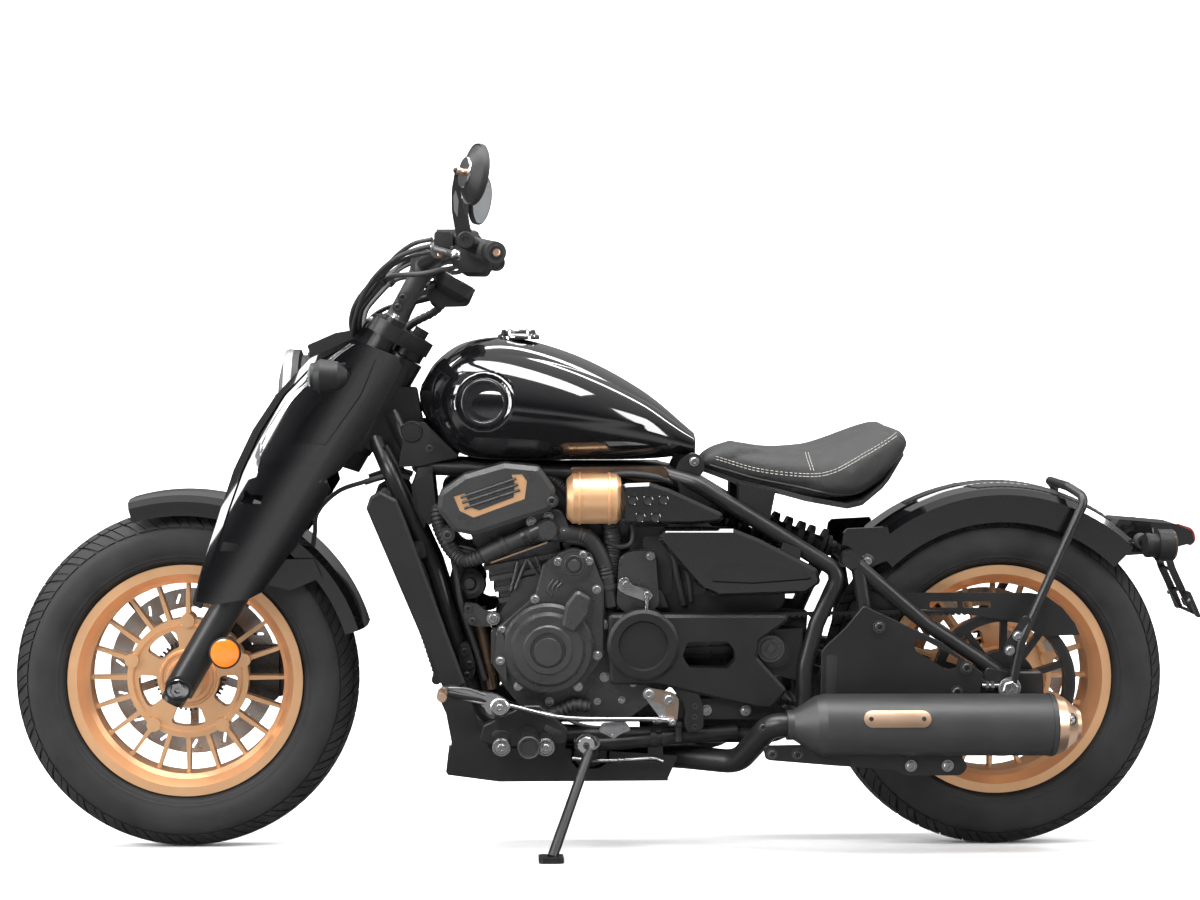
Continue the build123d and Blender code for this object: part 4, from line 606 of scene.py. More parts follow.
# %% [markdown]
# ## Finding a surface from the side
#
# To find how far out a screw must sit, a ray is sent in from the side until it meets the
# casting, so that no place has to be typed twice.

# %% Rays from the side
SURFACES = {}


def surface(node):
    """A solid's surface, upright in millimetres, as a tree that rays can be sent at."""
    if node not in SURFACES:
        mesh, upright = nodes[node].data, STAND.inverted()
        SURFACES[node] = BVHTree.FromPolygons([upright @ v.co for v in mesh.vertices],
                                              [p.vertices for p in mesh.polygons])
    return SURFACES[node]


def landing(x, z, *on, hand=1, start=400):
    """Where a line from the side, at x and z, first meets one of the solids."""
    hits = [surface(node).ray_cast(Vector((x, start * hand, z)), Vector((0, -hand, 0)))[0] for node in on]
    reach = [hit.y * hand for hit in hits if hit]
    return Vector((x, hand * max(reach), z)) if reach else None


def side_screws(name, spots, on, wear="zinc_steel", size=1.2, hands=HANDS):
    """Cap screws where lines from the side land; spots that meet nothing are left out."""
    for hand, side in hands:
        found = [landing(x, z, *on, hand=hand) for x, z in spots]
        screws(name + side, [p for p in found if p], "chassis", wear, size, (0, hand, 0))


print("the valve cover's face is at y =", round(landing(180, 640, "valve_covers").y, 1))

# %% [markdown]
# ## Tyres
#
# A tyre is a rounded ring whose tread stands out in blocks. The carcass is turned on the
# lathe from a smooth profile, a little lower than the tread. One pitch of the tread, four
# pairs of curved blocks, is drawn on the carcass's own profile and copied round the axle.

# %% The tyre's profile
FRONT, REAR = Vector((761, 0, 320.2)), Vector((-761, 0, 323.2))
TREAD_DEEP, TREAD_PITCHES, TREAD_BELT = 4.5, 44, 34
BEAD_R = 205
TYRES = {"front_tyre": (FRONT, 320.2, 130.0, 96.0, "front_wheel"),
         "rear_tyre": (REAR, 323.2, 150.0, 112.0, "rear_wheel")}


def tyre_side(radius, width, rim_width):
    """(radius, y) points from the bead, up the sidewall, to the middle of the tread."""
    half, bead = width / 2, rim_width / 2 - 6
    knots = [(BEAD_R, bead - 1), (218, bead + 1), (225, half - 12), (243, half - 3), (262, half - 0.5),
             (radius - 38, half - 4), (radius - 18, half - 18), (radius - 6, half - 37), (radius, 0)]
    return [(p.x, p.y) for p in smooth_path([(r, y, 0) for r, y in knots], 6)]


def lowered_side(side, radius):
    """The same profile with the tread's depth taken off and thin raised rings on the wall."""
    rows = []
    for r, y in side:
        deep = TREAD_DEEP * min(max((r - (radius - TREAD_BELT)) / 4, 0), 1)
        raised = 1.0 if 224.5 < r < 228.5 or 232 < r < 233.5 or 279 < r < 280.5 else 0.0
        rows.append((r - deep, y + raised))
    return rows


print("tyre profile of", len(tyre_side(320.2, 130.0, 96.0)), "points")

# %% One pitch of the tread
ROWS_OF_BLOCKS = ((0.04, 0.46, 0.10), (0.53, 1.0, 0.14))
HALF_GAP = 0.03


def on_tyre(centre, side, radius, across, turn, height):
    """A point of the tread: across 0 is its middle and 1 its shoulder; turn is in radians."""
    tread = [(r, y) for r, y in side if r > radius - TREAD_BELT]
    tread.reverse()
    spot = abs(across) * (len(tread) - 1)
    k = min(int(spot), len(tread) - 2)
    (r0, y0), (r1, y1) = tread[k], tread[k + 1]
    slope = Vector((y0 - y1, r0 - r1)).normalized()
    r = r0 + (r1 - r0) * (spot - k) - abs(slope.x) * height
    y = y0 + (y1 - y0) * (spot - k) - abs(slope.y) * height
    return centre + Vector((r * cos(turn), y if across >= 0 else -y, r * sin(turn)))


def edge_of(grid):
    """The vertices round the outside of a grid of four rows."""
    return grid[0] + [row[-1] for row in grid[1:]] + grid[3][1::-1] + [row[0] for row in grid[2:0:-1]]


def tread_pitch(name, centre, side, radius):
    """One pitch: on each side a long slanted centre block and a shoulder block, each in two."""
    bm = bmesh.new()
    pitch = 2 * pi / TREAD_PITCHES
    for hand in (1, -1):
        shift = 0 if hand > 0 else 0.5
        for low, high, gap in ROWS_OF_BLOCKS:
            for start, end in ((gap, 0.5 - HALF_GAP), (0.5 + HALF_GAP, 1.0)):
                tops, feet = [], []
                for i in range(4):
                    across = low + (high - low) * i / 3
                    slant = 0.85 * across ** 1.4 + shift
                    turns = [pitch * (slant + start + (end - start) * j / 2) for j in range(3)]
                    pairs = [[bm.verts.new(on_tyre(centre, side, radius, hand * across, t, deep))
                              for deep in (0, TREAD_DEEP + 1)] for t in turns]
                    tops.append([top for top, foot in pairs])
                    feet.append([foot for top, foot in pairs])
                for grid in (tops, feet):
                    for a, b in zip(grid, grid[1:]):
                        for j in range(2):
                            bm.faces.new((a[j], a[j + 1], b[j + 1], b[j]))
                join_rings(bm, [edge_of(tops), edge_of(feet)], cap=False)
    bm.transform(Matrix.Translation(-centre))
    return keep_aside(from_bmesh(name, bm))


print("the tread has", TREAD_PITCHES, "pitches round each tyre")

# %% Carcass and tread
for name, (centre, radius, width, rim_width, body) in TYRES.items():
    side = tyre_side(radius, width, rim_width)
    lowered = lowered_side(side, radius)
    inner = [(BEAD_R, rim_width / 2 - 16), (236, width / 2 - 14), (276, width / 2 - 12), (radius - 16, 20)]
    ring = inner[:1] + lowered + [(r, -y) for r, y in reversed(lowered[:-1])]
    ring += [(r, -y) for r, y in inner] + list(reversed(inner[1:]))
    carcass = settle(lathe(name + "_carcass", ring, centre, steps=160), body, "tyre_rubber", 24)
    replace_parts(carcass, name)
    pitch = tread_pitch(name + "_pitch", centre, side, radius)
    turns = [2 * pi * k / TREAD_PITCHES for k in range(TREAD_PITCHES)]
    around = [(centre, (-sin(t), 0, cos(t)), (cos(t), 0, sin(t))) for t in turns]
    tread = copies(name + "_tread", around, pitch, body, "tyre_rubber", angle=24)
    print(name, len(carcass.data.polygons), "carcass faces,", len(tread.data.polygons), "tread faces")

# %% [markdown]
# ## The seat
#
# The seat is a scooped foam pad in grained leather. Foam pushes its cover out between the
# seams, so the pad starts a little too small and is blown up by Blender's cloth solver for
# twenty frames. What follows the seams is laid on afterwards: a bead of piping along the
# lower edge, and two rows of stitches, each found on the swollen leather by looking at it
# from the side.

# %% The pad before it is filled
SEAT_RUN = [(-196, 730, 757, 52), (-226, 716, 766, 66), (-273, 702, 758, 80), (-330, 690, 750, 104),
            (-397, 677, 753, 142), (-435, 671, 763, 152), (-482, 675, 781, 153), (-530, 708, 801, 138),
            (-562, 748, 806, 110), (-576, 770, 790, 84)]
SEAT_SHRINK, SEAT_SIDES, SEAT_MIDDLE = 4.0, 48, 0.42


def seat_start():
    """Rounded cross-sections along the seat: x, bottom height, top height, half width."""
    rows = smooth_path([(x, low, high) for x, low, high, half in SEAT_RUN], 5)
    halves = smooth_path([(x, half, 0) for x, low, high, half in SEAT_RUN], 5)
    bm = bmesh.new()
    loops = []
    for (x, low, high), wide in zip(rows, halves):
        low, high, half = low + SEAT_SHRINK, high - SEAT_SHRINK, wide.y - SEAT_SHRINK
        loop = []
        for k in range(SEAT_SIDES):
            a = 2 * pi * k / SEAT_SIDES
            y = half * (abs(cos(a)) ** 0.55) * (1 if cos(a) > 0 else -1)
            up = abs(sin(a)) ** (0.62 if sin(a) > 0 else 0.3) * (1 if sin(a) > 0 else -1)
            middle = low + (high - low) * SEAT_MIDDLE
            z = middle + (high - middle) * up if up > 0 else middle + (middle - low) * up
            loop.append(bm.verts.new((x, y, z)))
        loops.append(loop)
    join_rings(bm, loops)
    return from_bmesh("seat_cushion", bm)


cushion = seat_start()
cushion.data.transform(STAND)
print("seat starts with", len(cushion.data.vertices), "points")

# %% Fill it
def make_plain(obj):
    """Keep what the modifiers do as a plain mesh."""
    seen = obj.evaluated_get(bpy.context.evaluated_depsgraph_get())
    mesh = bpy.data.meshes.new_from_object(seen)
    obj.modifiers.clear()
    obj.data = mesh


def use(obj, kind, **settings):
    """Add a modifier and apply it."""
    modifier = obj.modifiers.new(kind.lower(), kind)
    for key, value in settings.items():
        setattr(modifier, key, value)
    make_plain(obj)


def inflate(obj, pressure=4.0, cap=0.012, frames=20):
    """Blow a closed pad up with cloth, moving no point further than cap metres."""
    before = [v.co.copy() for v in obj.data.vertices]
    cloth = obj.modifiers.new("filling", "CLOTH").settings
    cloth.use_pressure = True
    cloth.uniform_pressure_force = pressure
    cloth.effector_weights.gravity = 0.0
    cloth.quality = 5
    scene = bpy.context.scene
    for number in range(1, frames + 1):
        scene.frame_set(number)
    make_plain(obj)
    scene.frame_set(1)
    for vertex, start in zip(obj.data.vertices, before):
        move = vertex.co - start
        if move.length > cap:
            vertex.co = start + move * (cap / move.length)


use(cushion, "REMESH", mode="VOXEL", voxel_size=0.0055)
inflate(cushion)
use(cushion, "SUBSURF", levels=1, render_levels=1)
cushion.data.shade_smooth()
cushion.data.materials.append(finishes["seat_leather"])
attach(cushion, "chassis")
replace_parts(cushion, "seat_pad")
print("seat now has", len(cushion.data.polygons), "faces")

# %% Piping and stitches that lie on the leather
leather = BVHTree.FromObject(cushion, bpy.context.evaluated_depsgraph_get())
LEAN_BACK = STAND.inverted()


def on_leather(x, z, hand, lift):
    """The upright place where a look from the side meets the seat, and which way it faces."""
    start, look = stand((x, hand * 400, z)), stand_direction((0, -hand, 0))
    hit, normal = leather.ray_cast(start, look)[:2]
    if hit is None:
        return None
    normal = (LEAN_TURN.transposed() @ normal).normalized()
    return LEAN_BACK @ hit + normal * lift, normal


def seam(points, hand, lift, step):
    """Evenly spaced places along a seam drawn as (x, z) points: place, facing, along."""
    line = smooth_path([(x, 0, z) for x, z in points], 30)
    found = [spot for spot in (on_leather(p.x, p.z, hand, lift) for p in line) if spot]
    rows, gone = [], step
    for (here, out), (there, _) in zip(found, found[1:]):
        gone += (there - here).length
        if gone >= step:
            rows.append((here, out, (there - here).normalized()))
            gone = 0
    return rows


STITCH = [(-2.6, 0, -0.5), (-1.6, 0, 0.35), (0, 0, 0.6), (1.6, 0, 0.35), (2.6, 0, -0.5)]
STITCH_R, STITCH_STEP, ROW_GAP = 0.55, 6.5, 5
stitch = keep_aside(hose("stitch", STITCH, STITCH_R, 6, 1))
SEAM_LINE = [(-226, 742), (-300, 722), (-380, 716), (-430, 724), (-490, 756), (-556, 792)]
SEAM_CROSS = [(-386, 752), (-388, 738), (-392, 722)]
finish("thread", (0.42, 0.40, 0.37), 0.7, vary=0.05)
rows = []
for hand in (1, -1):
    for shift in (0, ROW_GAP):
        rows += seam([(x, z - shift) for x, z in SEAM_LINE], hand, 0.2, STITCH_STEP)
        rows += seam([(x - shift, z) for x, z in SEAM_CROSS], hand, 0.2, STITCH_STEP)
copies("seat_stitches", rows, stitch, "chassis", "thread")
PIPING = [(-212, 727), (-250, 716), (-300, 703), (-360, 693), (-410, 684), (-455, 679), (-500, 690),
          (-540, 722), (-566, 756)]
for hand, side in HANDS:
    bead = [row[0] for row in seam(PIPING, hand, 0.8, 9.0)]
    settle(hose("seat_piping" + side, bead, 2.2, 8, 2), "chassis", "rubber")
print(len(rows), "stitches")

# %% [markdown]
# ## The fuel tank
#
# A gloss tank shows every dent, so its surface has to be smooth and dense. The cross-sections
# of the CAD solid are joined by a soft line along the tank. A round hollow for a bare
# medallion is pressed into each side, and a crease runs back from it, both by moving the
# points of the mesh along the surface's own normals.

# %% Tank sections
TANK = [(326, 20, 34, 845, 22, 866, 872, 826), (296, 52, 84, 838, 60, 895, 918, 782),
        (240, 78, 128, 836, 84, 925, 953, 744), (150, 92, 150, 834, 92, 930, 960, 738),
        (30, 84, 140, 822, 84, 900, 926, 738), (-90, 58, 96, 796, 56, 846, 862, 738),
        (-186, 26, 40, 762, 26, 778, 784, 745)]
MEDALLION = Vector((209, 134, 845))
MEDALLION_OUT = Vector((0.236, 0.97, 0.05)).normalized()
MEDALLION_R, MEDALLION_DEEP, CREASE_DEEP = 50.0, 6.0, 2.2
END_BULGE = 4


def arc_through(a, b, c, steps):
    """Points on the circle through three (y, z) points, from the first to the last."""
    (ax, ay), (bx, by), (cx, cy) = a, b, c
    d = 2 * (ax * (by - cy) + bx * (cy - ay) + cx * (ay - by))
    aa, bb, cc = ax * ax + ay * ay, bx * bx + by * by, cx * cx + cy * cy
    ux = (aa * (by - cy) + bb * (cy - ay) + cc * (ay - by)) / d
    uy = (aa * (cx - bx) + bb * (ax - cx) + cc * (bx - ax)) / d
    start, middle, end = (atan2(y - uy, x - ux) for x, y in (a, b, c))
    turn = (end - start) % (2 * pi)
    if (middle - start) % (2 * pi) > turn:
        turn -= 2 * pi
    r = hypot(ax - ux, ay - uy)
    angles = [start + turn * k / steps for k in range(steps + 1)]
    return [(ux + r * cos(angle), uy + r * sin(angle)) for angle in angles]


def tank_loop(floor_half, belly_half, belly_z, shoulder_half, shoulder_z, top_z, floor_z, steps=44):
    """One closed cross-section, from the middle of the floor up the left side and down the right."""
    side = arc_through((floor_half, floor_z), (belly_half, belly_z), (shoulder_half, shoulder_z), steps)
    crown = arc_through((shoulder_half, shoulder_z), (0, top_z), (-shoulder_half, shoulder_z), 2 * steps)
    left = [(floor_half * k / 8, floor_z) for k in range(8)] + side[:-1] + crown[:steps]
    return left + [(0, top_z)] + [(-y, z) for y, z in reversed(left[1:])]


print("a tank section has", len(tank_loop(*TANK[3][1:])), "points")

# %% Build and press the tank
def tank_shell():
    loops = [[Vector((row[0], y, z)) for y, z in tank_loop(*row[1:])] for row in TANK]
    columns = [smooth_path(column, 24) for column in zip(*loops)]
    bm = bmesh.new()
    grid = [[bm.verts.new(p) for p in column] for column in columns]
    join_rings(bm, list(zip(*grid)), cap=False)
    for end, bulge in ((0, END_BULGE), (-1, -END_BULGE)):
        loop = [column[end] for column in grid]
        middle = sum((v.co for v in loop), Vector()) / len(loop)
        tip = bm.verts.new(middle + Vector((bulge, 0, 0)))
        for a, b in zip(loop, loop[1:] + loop[:1]):
            bm.faces.new((a, b, tip))
    return from_bmesh("fuel_tank_shell", bm)


def pressed(vertex):
    """How far a point of the tank goes in: the medallion's hollow, and below the crease."""
    near = Vector((vertex.x, abs(vertex.y), vertex.z)) - MEDALLION
    away = (near - MEDALLION_OUT * near.dot(MEDALLION_OUT)).length
    hollow = min(max((MEDALLION_R + 2.5 - away) / 5.0, 0), 1)
    hollow = hollow * hollow * (3 - 2 * hollow) * MEDALLION_DEEP
    if abs(vertex.y) < 20:
        return 0.0
    crease = 838 - 0.10 * (209 - vertex.x) - vertex.z
    fade = min(max((vertex.x + 150) / 120, 0), 1) * min(max((250 - vertex.x) / 90, 0), 1)
    under = min(max(crease / 10.0, 0), 1) * min(max((vertex.z - 750) / 50, 0), 1)
    return hollow + CREASE_DEEP * under * fade * (1 - min(hollow, 1))


tank = tank_shell()
moves = [(v, v.normal * -pressed(v.co)) for v in tank.data.vertices]
for vertex, move in moves:
    vertex.co += move
settle(tank, "chassis", "gloss_black", 60)
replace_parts(tank, "fuel_tank")
print("tank:", len(tank.data.polygons), "faces")

# %% Medallions, the welded seam under the tank, and the cap
MEDAL_PROFILE = [(0, 3.2), (34, 3.2), (36, 4.6), (38.5, 5.2), (42, 4.8), (44, 3.4), (44.5, -2), (0, -2)]
CAP_PROFILE = [(0, 17), (17, 17), (19, 18.5), (30, 18), (32, 16), (33, 10), (38, 8), (39.5, 5.5), (39.5, 0), (0, 0)]
CAP_FOOT, CAP_SCREW_R = Vector((145, 0, 958)), 35.6
turned("tank_medallion", "medallion_black", MEDAL_PROFILE, MEDALLION - MEDALLION_OUT * 6.5, 72, MEDALLION_OUT)
cap = turned("fuel_cap", "chrome", CAP_PROFILE, CAP_FOOT, 60, (0, 0, 1), hands=MIDDLE)
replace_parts(cap, "filler_cap")
around = [CAP_FOOT + Vector((CAP_SCREW_R * cos(k * pi / 3), CAP_SCREW_R * sin(k * pi / 3), 7)) for k in range(6)]
screws("fuel_cap_screws", around, "chassis", "zinc_steel", 0.42, (0, 0, 1))
print("medallions and cap are on")

# %% [markdown]
# ## Wheel details
#
# The cast wheels come whole from the CAD model. On top go the small things that make a wheel
# look used and real: a nub where each thin spoke meets the rim, screws round the hub plate,
# the slotted ring that the wheel-speed sensor reads, an axle nut and a tyre valve.

# %% Nubs, hub screws and sensor rings
NUB = [(0, 5), (3.4, 4.4), (5.4, 2.4), (6.2, -2), (6.2, -6), (0, -6)]
SPOKES, TEETH, DISC_SCREWS = 20, 44, 5
GROOVE_RING = [(46, 12), (48, 15), (52, 15.6), (54, 12), (54, 8), (46, 8)]
HUB_CONE = [(14, 57.5), (22, 57.5), (24, 50), (29, 46), (31, 30), (40, 13), (14, 13)]
SENSOR_RING = [(52, -20), (52, -17.5), (60, -17.5), (60, -20)]
TOOTH = [(0, -1.2), (9, -1.2), (9, 1.2), (0, 1.2)]
VALVE_TURN, VALVE_RADII = 0.9, (190, 178, 158)
nub = keep_aside(lathe("spoke_nub", NUB, (0, 0, 0), (0, 0, 1), 14))


def round_axle(centre, radius, y, count, first=0.0):
    """count (place, outward) pairs round a wheel's axle."""
    pairs = []
    for k in range(count):
        a = first + 2 * pi * k / count
        out = Vector((cos(a), 0, sin(a)))
        pairs.append((centre + out * radius + Vector((0, y, 0)), out))
    return pairs


for prefix, centre, body in (("front", FRONT, "front_wheel"), ("rear", REAR, "rear_wheel")):
    rows = [(place, -out, OUT) for place, out in round_axle(centre, 183, 0, SPOKES)]
    copies(prefix + "_spoke_nubs", rows, nub, body, "wheel_bronze", 1.25)
    bolts(prefix + "_hub_screws", [place for place, out in round_axle(centre, 103, 15.5, SPOKES, pi / SPOKES)],
          "wheel_bronze", 0.34, body=body)
    turned(prefix + "_groove_ring", "wheel_bronze", GROOVE_RING, centre, 96, body=body, hands=MIDDLE)
    if prefix == "front":
        turned("front_hub_cone", "wheel_bronze", HUB_CONE, centre, 72, body=body, hands=MIDDLE)
    turned(prefix + "_sensor_ring", "engine_black", SENSOR_RING, centre, 96, body=body, hands=MIDDLE)
    tooth = keep_aside(plate(prefix + "_tooth", TOOTH, 2.4, -2.4, 0.4))
    rows = [(place, OUT, out) for place, out in round_axle(centre, 59, -18.5, TEETH)]
    copies(prefix + "_sensor_teeth", rows, tooth, body, "engine_black")
    disc = [place for place, out in round_axle(centre, 52, -71.5, DISC_SCREWS, 0.3)]
    screws(prefix + "_disc_screws", disc, body, "zinc_steel", 0.9, -OUT)
    valve = [centre + Vector((cos(VALVE_TURN) * r, -8, sin(VALVE_TURN) * r)) for r in VALVE_RADII]
    bent(prefix + "_valve", "rubber", valve, 3.6, 12, 3, body=body, hands=MIDDLE)
print("wheel details are on")

# %% Axle nuts and reflectors
def hex_nut(name, place, across, high, body, wear):
    """A six-sided nut with a rounded face, a hollow and a washer under it."""
    bm = bmesh.new()
    out = Vector((0, 1 if place.y > 0 else -1, 0))
    side = out.orthogonal().normalized()
    other = out.cross(side)
    layers = []
    for r, h in ((0.5, -2), (0.58, -1.9), (0.58, high - 1.5), (0.5, high), (0.26, high), (0.26, high - 6)):
        turns = [2 * pi * i / 6 for i in range(6)]
        layers.append([bm.verts.new(place + out * h + (side * cos(t) + other * sin(t)) * across * r) for t in turns])
    join_rings(bm, layers)
    washer = [(0, -1), (across * 0.8, -1), (across * 0.8, 1.6), (across * 0.74, 2.2), (0, 2.2)]
    turned(name + "_washer", wear, washer, place, 40, out, body, MIDDLE)
    settle(from_bmesh(name, bm), body, wear, 20)


for name, centre, y, across, high, body, wear in (
        ("front_axle_nut", FRONT, 140.5, 24, 8, "fork", "chrome"),
        ("front_axle_head", FRONT, -140.5, 24, 8, "fork", "zinc_steel"),
        ("rear_axle_nut", REAR, 152.5, 26, 9, "chassis", "zinc_steel"),
        ("rear_axle_head", REAR, -152.5, 26, 9, "chassis", "zinc_steel")):
    hex_nut(name, centre + Vector((0, y, 0)), across, high, body, wear)
REFLECTOR = Vector((676, 138, 388))
CUP = [(0, -6), (27, -6), (29, 0), (29, 5), (26.5, 6), (26.5, 3), (0, 3)]
AMBER = [(0, 1), (26, 1), (26, 5), (22, 7), (10, 7.8), (0, 8)]
turned("reflector_cup", "moulded_black", CUP, REFLECTOR, 56, body="fork")
turned("reflector", "amber_lens", AMBER, REFLECTOR, 56, body="fork")
cut("reflector_arm", "moulded_black", [(690, 372), (702, 392), (668, 420), (650, 398)], 8, 133, 129, 0.8, "fork")
print("axles closed, reflectors on")

# %% [markdown]
# ## Handlebar and controls
#
# Grips are ribbed rubber sleeves with a flange and a weight at the end. Each switch box is
# two shells screwed together. The levers are cast and polished, with a ball at the tip.

# %% Grips, switch boxes and levers
GRIP_START, GRIP_END = Vector((231, 290, 1122)), Vector((194, 402, 1111))
GRIP_RUN = (GRIP_END - GRIP_START).normalized()
RIBS, RIB_PITCH = 26, 3.9
GRIP = [(0, -1), (23, -1), (24, 1), (24, 4), (18, 6)]
for k in range(RIBS):
    GRIP += [(r, a + k * RIB_PITCH) for r, a in ((17.2, 7.5), (18.3, 8.6), (18.3, 10.2), (17.2, 11.2))]
GRIP += [(18, 112), (17, 116), (0, 116)]
GRIP_WEIGHT = [(0, 117), (15, 117), (18.6, 119), (18.8, 131), (17, 139), (12, 143), (8, 143.4), (7.5, 141),
               (0, 141)]
SWITCH_BOX = [(0, -45), (23, -45), (26, -42), (26.5, -24), (26, -21.5), (24.8, -21.5), (24.8, -20.5),
              (26, -20.5), (26.4, -6), (24, -2), (0, -2)]
SWITCH_CLAMP = [(0, -68), (17, -68), (19.5, -66), (19.5, -49), (17, -46), (0, -46)]
LEVER = [GRIP_START - GRIP_RUN * 50 + Vector((48, 0, 0)), GRIP_START + GRIP_RUN * 20 + Vector((66, 0, -4)),
         GRIP_START + GRIP_RUN * 75 + Vector((66, 3, -5)), GRIP_END + Vector((60, 8, -6))]
BALL_R = 9.5
BALL = [(BALL_R * sin(pi * k / 12) if 0 < k < 12 else 0, -BALL_R * cos(pi * k / 12)) for k in range(13)]
PERCH = [GRIP_START - GRIP_RUN * 56 + Vector((14, 0, 0)), GRIP_START - GRIP_RUN * 54 + Vector((34, 0, 2)),
         GRIP_START - GRIP_RUN * 44 + Vector((52, 0, 0))]
BUTTON = [(0, -4), (6, -4), (6, 3), (4.6, 4.6), (0, 4.6)]
for name, wear, profile, steps, angle in (("grip", "rubber", GRIP, 40, 32),
                                          ("grip_end", "moulded_black", GRIP_WEIGHT, 40, 32),
                                          ("switch_box", "moulded_black", SWITCH_BOX, 40, 26),
                                          ("switch_clamp", "rough_black", SWITCH_CLAMP, 36, 26)):
    turned(name, wear, profile, GRIP_START, steps, GRIP_RUN, "fork", HANDS, angle)
bent("lever", "brushed_alloy", LEVER, 6.2, 14, 8, lambda t: 1.15 - 0.35 * min(t * 2, 1) if t < 0.94 else 1.0,
     "fork")
turned("lever_ball", "brushed_alloy", BALL, LEVER[-1], 24, GRIP_RUN, "fork")
bent("lever_perch", "rough_black", PERCH, 10, 14, 6, lambda t: 1.1 - 0.25 * t, "fork")
for hand, side in HANDS:
    for k, along in enumerate((-34, -14)):
        place = flip(GRIP_START, hand) + flip(GRIP_RUN, hand) * along + Vector((-12, 0, 22))
        wear = "red_lens" if hand < 0 and k == 0 else "rubber"
        settle(lathe(f"switch_button{side}_{k}", BUTTON, place, (-0.5, 0, 0.86), 24), "fork", wear)
print("grips, boxes and levers made")

# %% Brake reservoir, risers, clamp caps and gauge
FORK_UP, FORK_AHEAD = Vector((-0.5, 0, 0.8660254)), Vector((0.8660254, 0, 0.5))
FORK_Y = 108


def on_fork(along, ahead=0.0, y=0.0):
    """A place measured up the fork from the front axle."""
    return FRONT + FORK_UP * along + FORK_AHEAD * ahead + Vector((0, y, 0))


def box_outline(half_long, half_high):
    return [(-half_long, -half_high), (half_long, -half_high), (half_long, half_high), (-half_long, half_high)]


RESERVOIR_TURN = Matrix.Rotation(-0.3, 4, "Z")
for name, half_long, half_high, corner, half_wide, edge, z, wear in (
        ("brake_reservoir", 19, 13, 6, 24, 2.5, 1150, "moulded_black"),
        ("reservoir_lid", 21, 3.5, 2, 26, 1.5, 1166, "rough_black")):
    tub = plate(name, rounded(box_outline(half_long, half_high), corner), half_wide, -half_wide, edge)
    tub.data.transform(Matrix.Translation((278, -238, z)) @ RESERVOIR_TURN)
    settle(tub, "fork", wear)
RISER_TOP = Vector((318, 60, 1097))
RISER_UP = RISER_TOP - on_fork(770.4, 0, 60)
RISER = [(0, 0), (23, 0), (23, 8), (19.5, 12), (17.6, 30)]
RISER += [(r, RISER_UP.length + a) for r, a in ((17.4, -42), (20, -22), (24, -8), (24, -1), (0, -1))]
CLAMP = [(12.9, -19), (24, -19), (25.5, -17), (25.5, 17), (24, 19), (12.9, 19)]
turned("riser", "rough_black", RISER, RISER_TOP - RISER_UP, 40, RISER_UP, "fork", HANDS, 30)
for hand, side in HANDS:
    top = flip(RISER_TOP, hand)
    settle(lathe("bar_clamp" + side, CLAMP, top, OUT, 40), "fork", "rough_black")
    caps = [top + FORK_AHEAD * a + FORK_UP * 23 + Vector((0, y, 0)) for a in (-17, 17) for y in (-9, 9)]
    screws("clamp_screws" + side, caps, "fork", "zinc_steel", 0.9, FORK_UP)
bolts("fork_cap_screws", [on_fork(780.5, 0, FORK_Y)], size=1.6, facing=FORK_UP, body="fork")
bolts("yoke_pinch_screws", [on_fork(756, 36, FORK_Y), on_fork(512, 36, FORK_Y)], size=1.1, facing=FORK_AHEAD,
      body="fork")
DIAL = Vector((270, 0, 1050))
GAUGE_RIM = [(27, 16), (29, 22.5), (32, 23.5), (35, 22), (35, 14), (27, 14)]
GAUGE_GLASS = [(0, 17), (29, 17), (30, 19.5), (0, 21)]
BOOT = [DIAL + Vector((2, -14, -6)), (300, -20, 1010), (345, -26, 985), (372, -22, 955)]
turned("gauge_rim", "seal_silver", GAUGE_RIM, DIAL, 64, FORK_UP, "fork", MIDDLE)
turned("gauge_glass", "dark_lens", GAUGE_GLASS, DIAL, 64, FORK_UP, "fork", MIDDLE)
bent("gauge_boot", "rubber", BOOT, 6.5, 14, 10, lambda t: 1.2 + 0.12 * sin(t * 90), "fork", MIDDLE)
print("risers, clamps and gauge made")

# %% [markdown]
# ## Cables
#
# Clutch, throttle and brake lines leave the controls, bow forward over the headlamp and dive
# between the fork tubes. The thickest one on each side is a spline with the CAD tube's own
# corner points as its control points, which a real cable follows almost exactly. Thinner
# companions run beside it.

# %% The thick cables
CABLE = [(288.6, 247.0, 1126.2), (345, 215, 1118), (410, 150, 1070), (446, 90, 1000), (450, 60, 962)]


def cable(name, points, diameter):
    """A bent cable as a smooth spline through the air between two holders."""
    curve = bpy.data.curves.new(name, "CURVE")
    curve.dimensions = "3D"
    curve.bevel_depth = diameter / 2000
    curve.bevel_resolution = 3
    curve.use_fill_caps = True
    spline = curve.splines.new("NURBS")
    spline.points.add(len(points) - 1)
    for spot, point in zip(spline.points, points):
        spot.co = (*stand(point), 1)
    spline.order_u = 3
    spline.use_endpoint_u = True
    spline.resolution_u = 16
    curve.materials.append(finishes["rubber"])
    obj = into_scene(name, curve)
    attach(obj, "fork")
    return obj


lines = [cable("bar_cable" + side, [flip(p, hand) for p in CABLE], 9) for hand, side in HANDS]
for line in lines:
    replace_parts(line, "bar_cables")
print("cables:", [line.name for line in lines])

# %% [markdown]
# ## The engine's bolts and hoses
#
# The castings come from the CAD model. What brings an engine to life is what is fastened to
# it: bright cap screws round each cover, corrugated hoses, a coolant housing, thin gasket
# edges.

